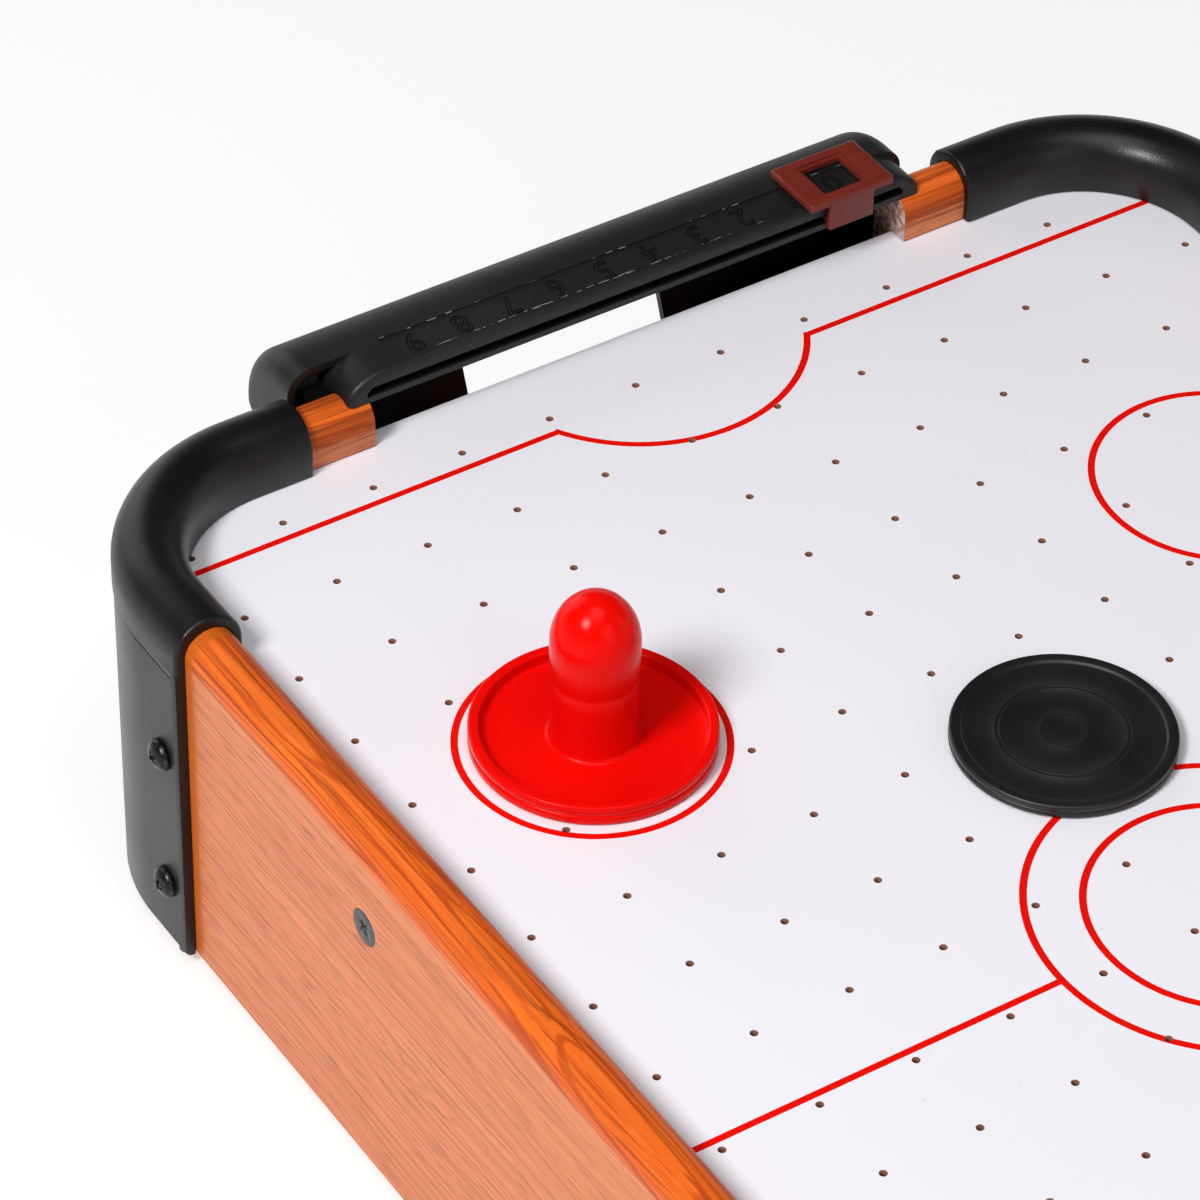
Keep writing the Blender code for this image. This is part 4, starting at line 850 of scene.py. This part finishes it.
def hole_places():
    """Centres of the drilled air holes; the rows of the right half were drilled a little off."""
    places = []
    for row in range(HOLE_COUNTS[0]):
        x = HOLE_FIRST[0] + row * HOLE_PITCH + (HOLE_SLIP if row >= HOLE_SLIP_FROM else 0.0)
        places += [(x, HOLE_FIRST[1] + i * HOLE_PITCH) for i in range(HOLE_COUNTS[1])]
    return places


def make_field():
    """The drilled field, with bare board in its holes and on its underside."""
    size = (FIELD_X - CORNER_X, FIELD_Y - CORNER_Y)
    outline = []
    for sx, sy, start in ((1, 1, 0), (-1, 1, 90), (-1, -1, 180), (1, -1, 270)):
        outline += arc((sx * CORNER_X, sy * CORNER_Y), size, start, start + 90, 16)
    holes = [circle(place, HOLE_RADIUS, 20) for place in hole_places()]
    mesh = plate([outline] + holes, FIELD_Z - FIELD_THICKNESS, FIELD_Z)
    mesh.materials.append(look_material("field_laminate"))
    mesh.materials.append(look_material("bare_fibreboard"))
    for face in mesh.polygons:
        face.material_index = 0 if face.normal.z > 0.5 else 1
    piece("field_board", mesh, "field_laminate", "table", ["playfield"], smooth=None)


def ring(centre, radius, start=0.0, end=360.0):
    """The outline loops of a printed circle or arc, given its middle radius."""
    steps = max(8, round(abs(end - start) / 2.5))
    outer = arc(centre, radius + LINE_WIDTH / 2, start, end, steps)
    inner = arc(centre, radius - LINE_WIDTH / 2, start, end, steps)
    if end - start == 360.0:
        return [outer[:-1], inner[:-1]]
    return [outer + inner[::-1]]


def stroke(start, end):
    """The outline loop of a printed straight line."""
    start, end = Vector(start), Vector(end)
    side = (end - start).orthogonal().normalized() * (LINE_WIDTH / 2)
    return [[tuple(start + side), tuple(end + side), tuple(end - side), tuple(start - side)]]


def make_lines():
    """The red lines, raised by the ink's thickness, with the air holes drilled through them."""
    reach = math.degrees(math.acos((-GOAL_ARC_CENTRE[0] - GOAL_LINE_X) / GOAL_ARC_RADIUS))
    near = GOAL_ARC_RADIUS * math.sin(math.radians(reach))
    overlap = 1.2  # degrees past the goal line, under its end
    marks = [ring((0, 0), radius) for radius in CENTRE_RINGS]
    for end in (-1, 1):
        marks.append(stroke((CENTRE_LINE_X, end * INNER_Y), (CENTRE_LINE_X, end * CENTRE_RINGS[0])))
    for turn, start in ((1, 0), (-1, 180)):
        def at(x, y):
            return (turn * x, turn * y)

        marks += [ring(at(*place), SIDE_RING_RADIUS) for place in SIDE_RINGS]
        ends = (start - reach - overlap, start + reach + overlap)
        marks.append(ring(at(*GOAL_ARC_CENTRE), GOAL_ARC_RADIUS, *ends))
        for end in (-1, 1):
            wall, arc_end = end * (INNER_Y + MM), GOAL_ARC_CENTRE[1] + end * near
            marks.append(stroke(at(-GOAL_LINE_X, wall), at(-GOAL_LINE_X, arc_end)))
    meshes = [plate(loops, INK_BOTTOM, INK_TOP) for loops in marks]
    mesh = join(meshes[0], *meshes[1:])
    low, high = FIELD_Z - MM, FIELD_Z + MM
    drills = [rod((x, y, low), (x, y, high), HOLE_RADIUS, 20) for x, y in hole_places()]
    mesh = cut(mesh, together(*drills))
    piece("field_lines", mesh, "line_ink", "table", slot="field_laminate", smooth=None)


# ---------------------------------------------------------------- corner caps

def cap_section():
    """Section of a cap: distance outwards from its inner face, and height."""
    outer = CAP_WIDTH / 2
    hollow, seam = CAP_HOLLOW, CAP_SEAM
    points = [(CAP_APRON - 0.5 * MM, GROUND_GAP), (CAP_APRON, GROUND_GAP + 0.5 * MM)]
    points += [(CAP_APRON, CAP_SEAM_Z - 2 * seam), (CAP_APRON - seam, CAP_SEAM_Z - seam)]
    points += [(CAP_APRON, CAP_SEAM_Z), (CAP_WIDTH - seam, CAP_SEAM_Z + seam / 2)]
    points += [(CAP_WIDTH, CAP_SEAM_Z + 2 * seam)]
    points += arc((outer, CAP_TOP - outer), outer, 0, 180, 32)
    points += [(0.0, FIELD_Z + 0.9 * MM), (0.3 * MM, FIELD_Z + GAP), (CAP_WALL, FIELD_Z + GAP)]
    points += arc((CAP_WALL + hollow, RAIL_TOP + GAP - hollow), hollow, 180, 0, 24)
    points += [(15.2 * MM, GROUND_GAP)]
    return points


def cap_end_rings(place):
    """Distance along a leg and shrink of the section, over the rounded end of a cap."""
    angles = [math.radians(90 * i / 4) for i in range(5)]
    return [
        (-place - CAP_LIP * (1 - math.cos(angle)), CAP_LIP * (1 - math.sin(angle)))
        for angle in angles
    ]


def cap_mesh():
    """The front-left cap: a section swept round the corner, with rounded ends and borders."""
    middle = CAP_WIDTH / 2
    outside = CAP_HOLLOW + 0.05 * MM

    def ring_points(place, shrink):
        points = []
        for out, up in cap_section():
            if shrink and abs(out - middle) > outside:
                out -= max(-1.0, min(1.0, (out - middle) / middle)) * shrink
            if shrink and up > RAIL_TOP + 2 * GAP:
                up -= shrink
            points.append(place(out, up))
        return points

    def corner(angle):
        def place(out, up):
            radius = CAP_CORNER_RADIUS + out
            return (-CORNER_X - radius * math.sin(angle), -CORNER_Y - radius * math.cos(angle), up)
        return place

    rings = []
    for x, shrink in cap_end_rings(CAP_END_X):
        rings.append(ring_points(lambda out, up: (x, -CAP_INNER_Y - out, up), shrink))
    for i in range(33):
        rings.append(ring_points(corner(math.radians(90 * i / 32)), 0.0))
    for y, shrink in cap_end_rings(CAP_END_Y)[::-1]:
        rings.append(ring_points(lambda out, up: (-CAP_INNER_X - out, y, up), shrink))
    bottom, top, skirt = GROUND_GAP, CAP_SEAM_Z + 2 * MM, CAP_BORDER_SKIRT
    loop = [(-CAP_BORDER - skirt, bottom), (-CAP_BORDER_ROUND, bottom)]
    loop += arc((-CAP_BORDER_ROUND, bottom + CAP_BORDER_ROUND), CAP_BORDER_ROUND, -90, 0, 8)[1:]
    loop += [(0.0, top), (-CAP_BORDER, top), (-CAP_BORDER, bottom + CAP_BORDER)]
    loop += [(-CAP_BORDER - skirt, bottom + skirt)]
    strip = bevelled(plate([loop], 15.5 * MM, CAP_WIDTH, "XZ"), 0.35 * MM, 3, 50)
    along_front = ((1, 0, 0, -CAP_END_X), (0, -1, 0, -CAP_INNER_Y), (0, 0, 1, 0), (0, 0, 0, 1))
    along_end = ((0, -1, 0, -CAP_INNER_X), (1, 0, 0, -CAP_END_Y), (0, 0, 1, 0), (0, 0, 0, 1))
    borders = [moved(strip, Matrix(rows)) for rows in (along_front, along_end)]
    return join(lofted(rings), *borders)


def make_caps():
    """Four corner caps; two of them are mirror images."""
    left = cap_mesh()
    right = moved(left, Matrix.Diagonal((-1, 1, 1, 1)))
    for corner, mesh, matrix in (
        ("front_left", left, None),
        ("back_right", left, HALF_TURN),
        ("front_right", right, None),
        ("back_left", right, HALF_TURN),
    ):
        node = corner + "_corner_cap"
        piece(node + "_moulding", mesh, "black_plastic", "table", [node], matrix=matrix, smooth=35)


# ---------------------------------------------------------------- goal hoods and score sliders

def hood_cover(inset, front):
    """The hood's rounded cover, shrunk by an inset, from a front plane outwards."""
    upper = (-HOOD_BACK_X + HOOD_UPPER_RADIUS, HOOD_TOP - HOOD_UPPER_RADIUS)
    lower = (-HOOD_BACK_X + HOOD_LOWER_RADIUS, HOOD_BOTTOM + HOOD_LOWER_RADIUS)

    def section(place, shrink):
        points = [(front, HOOD_TOP - shrink)]
        points += arc(upper, HOOD_UPPER_RADIUS - shrink, 90, 180, 30)
        points += arc(lower, HOOD_LOWER_RADIUS - shrink, 180, 270, 10)
        points += [(front, HOOD_BOTTOM + shrink)]
        return [(across, place, up) for across, up in points]

    rounding = HOOD_END_ROUND - inset
    steps = 12
    low_end, high_end = [], []
    for i in range(steps + 1):
        angle = math.pi / 2 * i / steps
        reach = inset + rounding * (1 - math.cos(angle))
        shrink = inset + rounding * (1 - math.sin(angle))
        low_end.append(section(HOOD_ENDS[0] + reach, shrink))
        high_end.append(section(HOOD_ENDS[1] - reach, shrink))
    return lofted(low_end + high_end[::-1])


def hood_well(inset, front):
    """The well under the cover, where the puck drops, shrunk by an inset."""
    lean = math.hypot(1.0, WELL_TAPER)
    radius = WELL_CORNER
    drop = WELL_TOP - WELL_FLOOR - radius
    middle = -WELL_BACK_X + WELL_TAPER * drop + radius * lean
    points = [(front, WELL_TOP), (-WELL_BACK_X + inset * lean, WELL_TOP)]
    start = 180 + math.degrees(math.atan(WELL_TAPER))
    points += arc((middle, WELL_FLOOR + radius), radius - inset, start, 270, 12)
    points += [(front, WELL_FLOOR + inset)]

    def end_rim(ends):
        top = all(p.y > WELL_TOP - GAP for p in ends)
        flush = all(p.x > front - GAP for p in ends)
        return len({p.z > 0 for p in ends}) == 1 and not top and not flush

    half = WELL_HALF_LENGTH - inset
    return softened_prism(points, -half, half, "XZ", end_rim, WELL_END_ROUND - inset, 8)


def hood_form(inset, front):
    """The cover and the well in one closed form."""
    return join(hood_cover(inset, front), hood_well(inset, front))


def score_bar():
    """The bar over the goal, its ends curved down to the rails and its front edge rounded."""
    radii = (BAR_END_LENGTH, BAR_TOP - BAR_BOTTOM)
    outline = arc((BAR_HALF_FLAT, BAR_BOTTOM), radii, 0, 90, 16)
    outline += arc((-BAR_HALF_FLAT, BAR_BOTTOM), radii, 90, 180, 16)

    def front_rim(ends):
        raised = any(p.y > BAR_BOTTOM + GAP for p in ends)
        return raised and all(p.z > -BAR_FRONT_X - GAP for p in ends)

    return softened_prism(outline, -BAR_BACK_X, -BAR_FRONT_X, "YZ", front_rim, BAR_ROUND, 6)


def hood_mesh():
    """The left hood, hollow, with the score bar, screw flange and the puck's way out."""
    front = -OUTER_X + 1.7 * MM
    mesh = cut(hood_form(0.0, front), hood_form(HOOD_WALL, front + MM))
    reach = MM - HOOD_ENDS[0]
    mesh = cut(mesh, block((-OUTER_X - GAP, -reach, 0), (-INNER_X, reach, HOOD_TOP + MM)))
    low = (-OUTER_X - 2.5 * MM, -FLANGE_HALF_LENGTH, WELL_FLOOR - FLANGE_DROP)
    flange = block(low, (-OUTER_X - GAP, FLANGE_HALF_LENGTH, WELL_FLOOR + MM))
    mesh = join(mesh, flange, score_bar())
    radius = WOOD / 2 + GAP
    saddle = arc((-INNER_X - WOOD / 2, RAIL_TOP + GAP - radius), radius, 0, 180, 32)
    saddle += [(-OUTER_X - GAP, FIELD_Z), (-INNER_X + GAP, FIELD_Z)]
    near = GOAL_HALF_WIDTH - GAP
    tools = [plate([saddle], near, reach, "XZ"), plate([saddle], -reach, -near, "XZ")]
    far, slope = SLOT_HALF_LENGTH, SLOT_CHAMFER
    base, shoulder, top = SLOT_HEIGHTS
    slot = [(-far, base), (far, base), (far, shoulder)]
    slot += [(far - slope, top), (slope - far, top), (-far, shoulder)]
    tools.append(plate([slot], -BAR_FRONT_X - 5 * MM, -BAR_FRONT_X + MM, "YZ"))
    low = (STRIP_X[0], -STRIP_HALF_LENGTH, BAR_TOP - STRIP_DEPTH)
    tools.append(block(low, (STRIP_X[1], STRIP_HALF_LENGTH, BAR_TOP + MM)))
    low = (-HOOD_BACK_X - MM, EXIT_SIDES[0], EXIT_BOTTOM)
    tools.append(block(low, (-OUTER_X - 5 * MM, EXIT_SIDES[1], EXIT_TOP)))
    return cut(mesh, *tools)


def digit_mesh(text):
    """One raised outline digit, 7 mm tall, read from outside the end of the table."""
    curve = bpy.data.curves.new("digit", "FONT")
    curve.body = text
    curve.size = 9.6 * MM
    curve.align_x = "CENTER"
    curve.align_y = "CENTER"
    curve.fill_mode = "NONE"
    curve.bevel_depth = 0.17 * MM
    curve.bevel_resolution = 2
    curve.resolution_u = 6
    mesh = baked(link("digit", curve))
    mesh.transform(Matrix.Diagonal((0.92, 1.0, 1.0, 1.0)))
    return mesh


def flash_mesh():
    """Specks and a thin broken bead of moulding flash round the score strip, coloured light grey as
    a painted highlight along its edges.
    """
    dice = random.Random(7)
    parts = []
    far = STRIP_HALF_LENGTH / MM
    for edge, count in ((STRIP_X[1], 60), (STRIP_X[0], 26)):
        for _ in range(count):
            y = dice.uniform(-far, far) * MM
            if edge == STRIP_X[1]:
                y = dice.triangular(-far, far, -20) * MM
            length = dice.uniform(0.3, 2.4) * MM
            size = dice.uniform(0.05, 0.16) * MM
            x = edge + dice.uniform(-0.15, 0.15) * MM
            z = BAR_TOP - dice.uniform(0.0, 0.12) * MM
            x2 = x + dice.uniform(-0.12, 0.12) * MM
            parts.append(rod((x, y, z), (x2, y + length, z), size, 8))
    return together(*parts)


def make_hoods():
    """Both hoods with their digits and moulding flash; the flash is coloured light grey as a
    painted highlight.
    """
    hood = hood_mesh()
    digits = []
    turn = Matrix.Rotation(-math.pi / 2, 4, "Z")
    for value in range(10):
        y = DIGIT_FIRST_Y - value * DIGIT_PITCH
        place = Matrix.Translation((SCORE_X, y, BAR_TOP - 0.38 * MM))
        digits.append(moved(digit_mesh(str(value)), place @ turn))
    digits = together(*digits)
    flash = flash_mesh()
    for side, matrix in (("left", None), ("right", HALF_TURN)):
        for name, mesh, look, nodes, smooth in (
            ("_hood_moulding", hood, "hood_plastic", [side + "_goal_hood"], 30),
            ("_score_digits", digits, "digit_plastic", (), 50),
            ("_flash_painted_highlight", flash, "flash_painted_highlight", (), 50),
        ):
            piece(side + name, mesh, look, "table", nodes, "black_plastic", matrix, smooth)


def slider_mesh():
    """The score slider: a softened window frame with a front tab hooked into the bar's slot."""
    bottom = BAR_TOP + GAP

    def box(half_x, half_y, low, high):
        return block((SCORE_X - half_x, -half_y, low), (SCORE_X + half_x, half_y, high))

    plaque = box(9 * MM, 12.3 * MM, bottom, bottom + 2.3 * MM)
    plaque = bevelled(plaque, 0.6 * MM, 4, 40)
    window = box(5.5 * MM, 5.8 * MM, bottom - MM, bottom + 4 * MM)
    recess = box(6.3 * MM, 6.6 * MM, bottom + 1.6 * MM, bottom + 4 * MM)
    low = (-231.7 * MM, -6.5 * MM, FIELD_Z + 12.2 * MM)
    tab = bevelled(block(low, (-230.0 * MM, 6.5 * MM, bottom + MM)), 0.3 * MM, 3, 40)
    low = (-234.7 * MM, -6.2 * MM, FIELD_Z + 13.7 * MM)
    hook = block(low, (-231.0 * MM, 6.2 * MM, FIELD_Z + 15.3 * MM))
    return cut(join(plaque, tab, hook), window, recess)


def make_sliders():
    """Both score sliders."""
    mesh = bevelled(slider_mesh(), 0.15 * MM, 2, 50)
    rest = Matrix.Translation((0, SLIDER_REST_Y, 0))
    for side, matrix in (("left", rest), ("right", HALF_TURN @ rest)):
        node = side + "_score_slider"
        piece(node + "_window", mesh, "slider_plastic", node, [node], matrix=matrix, smooth=30)


# ---------------------------------------------------------------- pushers and puck

def smooth_line(points, steps):
    """A smooth line of points through the given ones."""
    result = []
    line = [Vector(point) for point in (points[0], *points, points[-1])]
    for before, start, end, after in zip(line, line[1:], line[2:], line[3:]):
        bend = 2 * before - 5 * start + 4 * end - after
        twist = 3 * start - before - 3 * end + after
        for t in [k / steps for k in range(steps)]:
            value = 0.5 * (2 * start + (end - before) * t + bend * t * t + twist * t ** 3)
            result.append(tuple(value))
    return result + [tuple(points[-1])]


def pusher_mesh():
    """A pusher: a domed knob on a post in a shallow dish with a grooved rim, hollow below."""
    crown = arc((0.0, 29.5), (10.2, 12.5), 90, 0, 24)
    knob = smooth_line([(10.2, 29.5), (10.15, 26.0), (9.95, 22.6), (9.7, 20.4)], 6)[1:]
    neck = [(9.65, 19.9), (9.64, 19.5), (9.67, 19.1), (9.74, 18.4), (9.85, 16.0), (9.9, 12.0)]
    neck += [(9.9, 3.4)]
    neck += arc((11.15, 3.4), 1.25, 180, 270, 6)
    dish = [(14.0, 2.1), (20.0, 2.05), (25.1, 2.1), (25.4, 2.25), (25.5, 2.6), (25.55, 4.2)]
    rim = arc((26.1, 4.6), 0.55, 180, 90, 4) + arc((27.4, 4.6), 0.6, 90, 0, 5)
    groove = [(28.0, 3.2), (27.92, 3.05), (27.75, 2.95), (27.7, 2.8), (27.75, 2.65), (27.92, 2.55)]
    foot = [(28.0, 2.4), (28.0, 0.7), (27.85, 0.42), (27.6, 0.3), (26.8, 0.3)]
    hollow = [(26.8, 1.2), (8.3, 1.2), (8.3, 33.0), (0.0, 38.6)]
    return turned(crown + knob + neck + dish + rim + groove + foot + hollow, 96, MM)


def puck_mesh():
    """The puck: a raised rounded rim, shallow turned rings and a grooved side."""
    edge, high, floor = 25.7, 3.2, 2.72
    profile = [(0.0, floor)]
    rises = (0.0, 0.10, 0.13, 0.10, 0.0)
    for radii in (
        (4.9, 5.1, 5.4, 5.7, 5.9),
        (13.9, 14.05, 14.3, 14.55, 14.7),
        (15.0, 15.15, 15.4, 15.65, 15.8),
    ):
        profile += [(radius, floor + rise) for radius, rise in zip(radii, rises)]
    profile += [(edge - 3.1, floor), (edge - 2.85, floor + 0.08), (edge - 2.6, high - 0.12)]
    profile += [(edge - 2.35, high)]
    profile += arc((edge - 0.6, high - 0.6), 0.6, 90, 0, 6)
    profile += [(edge, 1.95), (edge - 0.1, 1.78), (edge - 0.25, 1.7), (edge - 0.25, 1.5)]
    profile += [(edge - 0.1, 1.42), (edge, 1.25)]
    profile += arc((edge - 0.5, 0.5), 0.5, 0, -90, 5)
    profile += [(0.0, 0.0)]
    return turned(profile, 120, MM)


def make_playing_pieces():
    """Two pushers and the puck."""
    mesh = pusher_mesh()
    for side, sign in (("left", -1), ("right", 1)):
        body = side + "_pusher"
        rest = Matrix.Translation((sign * PUSHER_PLACE[0], sign * PUSHER_PLACE[1], FIELD_Z))
        piece(body + "_moulding", mesh, "red_plastic", body, [body], matrix=rest, smooth=40)
    place = Matrix.Translation((*PUCK_PLACE, FIELD_Z + GAP))
    piece("puck_disc", puck_mesh(), "puck_plastic", "puck", ["puck"], matrix=place, smooth=40)


# ---------------------------------------------------------------- screws

def cross_recess(size, depth):
    """A tapered cross, as a cutter from local zero downwards."""
    arms = []
    for turn in (0.0, math.pi / 2):
        shape = bmesh.new()
        bmesh.ops.create_cube(shape, size=1.0)
        for vertex in shape.verts:
            low = vertex.co.z < 0
            vertex.co.x *= size * (0.45 if low else 1.0)
            vertex.co.y *= size * 0.22 * (0.7 if low else 1.0)
            vertex.co.z = -depth if low else depth
        mesh = finished(shape, "arm")
        mesh.transform(Matrix.Rotation(turn, 4, "Z"))
        arms.append(mesh)
    wide, narrow = size * 0.20, size * 0.12
    centre = turned([(0, depth), (wide, depth), (narrow, -depth * 1.1), (0, -depth * 1.35)], 12)
    return join(*arms, centre)


def screw_mesh(profile, sides, recess_depth, recess_top):
    """A turned screw, in millimetres, with a cross recess in its softened head."""
    cross = cross_recess(4.9 * MM, recess_depth * MM)
    cross.transform(Matrix.Translation((0, 0, recess_top * MM)))
    return bevelled(cut(turned(profile, sides, MM), cross), 0.06 * MM, 2, 45)


def pan_screw(length):
    """A pan-head screw whose head stands on local zero."""
    profile = arc((0, 0.2), (4.0, 2.3), 90, 0, 12)
    profile += [(4.0, 0.0), (1.5, 0.0), (1.5, 1.5 - length), (0.0, -length)]
    return screw_mesh(profile, 40, 1.7, 2.25)


def flat_screw():
    """A countersunk screw whose head is flush with local zero."""
    profile = [(0.0, 0.0), (4.35, 0.0), (4.62, -0.08), (4.65, -0.3)]
    profile += [(1.6, -3.2), (1.6, -26.0), (0.0, -29.0)]
    return screw_mesh(profile, 48, 1.8, 0.0)


def make_screws():
    """Every screw that shows, each turned to its own angle."""
    dice = random.Random(11)

    def put(name, mesh, look, place, direction, nodes):
        matrix = aimed(place, direction, dice.uniform(*SCREW_TURNS))
        piece(name, mesh, look, "table", nodes, matrix=matrix)

    def put_node(node, mesh, look, place, direction):
        put(node + "_steel", mesh, look, place, direction, [node])

    cap_screw, hood_screw, base_screw = pan_screw(11.0), pan_screw(10.0), pan_screw(8.0)
    rail_screw = flat_screw()
    face_x, face_y = CAP_INNER_X + CAP_APRON + GAP, CAP_INNER_Y + CAP_APRON + GAP
    flange_x, rail_y = OUTER_X + 2 * GAP + 2.2 * MM, OUTER_Y - 0.05 * MM
    for corner, sx, sy in CORNERS:
        side, end = (0, sy, 0), (sx, 0, 0)
        for level, drop in zip(("upper", "lower"), CAP_SCREW_DROPS):
            z, node = FIELD_Z - drop, corner + "_" + level + "_cap_"
            place = (sx * CAP_SCREW_X, sy * face_y, z)
            put_node(node + "side_screw", cap_screw, "black_screw", place, side)
            place = (sx * face_x, sy * CAP_SCREW_Y, z)
            put_node(node + "end_screw", cap_screw, "black_screw", place, end)
        place = (sx * RAIL_SCREW_X, sy * rail_y, RAIL_SCREW_Z)
        put_node(corner + "_rail_screw", rail_screw, "grey_screw", place, side)
        place = (sx * flange_x, sy * HOOD_SCREW_Y, HOOD_SCREW_Z)
        put_node(corner + "_hood_screw", hood_screw, "black_screw", place, end)
    (x, y), (end_x, end_y) = BASE_SCREW_SPREAD, BASE_SCREW_END
    places = [(sx * x, sy * y) for sx in (-1, 0, 1) for sy in (-1, 1)]
    places += [(sx * end_x, sy * end_y) for sy in (-1, 1) for sx in (-1, 1)]
    for i, (x, y) in enumerate(places, 1):
        place = (x, y, BASE_SCREW_Z)
        put("base_screw_%d" % i, base_screw, "black_screw", place, (0, 0, -1), ())


# ---------------------------------------------------------------- CAD nodes that stay

# Material, width of the softened edges in millimetres, and the nodes
KEPT = (
    ("hardboard", 0.3, ["base_panel"]),
    ("batten_wood", 0.6, ["left_batten", "right_batten"]),
    ("fan_plastic", 0.3, ["fan_guard", "battery_box", "battery_cover"]),
    ("fan_plastic", 0.2, ["fan_housing"]),
    ("motor_steel", 0.3, ["fan_motor"]),
    ("impeller_plastic", 0.2, ["fan_impeller"]),
    ("black_plastic", 0.4, ["switch_housing"]),
    ("red_plastic", 0.4, ["switch_rocker"]),
    ("white_felt", None, ["left_pusher_felt", "right_pusher_felt"]),
    ("cable_sheath", None, ["motor_cable", "battery_cable"]),
    ("foot_rubber", 0.5, [corner + "_foot" for corner, _, _ in CORNERS]),
)


def make_kept_nodes():
    """Give the CAD nodes that are shown as they are their materials and softened edges."""
    for look, width, names in KEPT:
        for name in names:
            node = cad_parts[name]
            node.data.materials.clear()
            node.data.materials.append(look_material(look))
            if width:
                soften(node, "soft_edges", width * MM, 2, 50)


make_studio()
make_camera()
make_rails()
make_field()
make_lines()
make_caps()
make_hoods()
make_sliders()
make_playing_pieces()
make_screws()
make_kept_nodes()
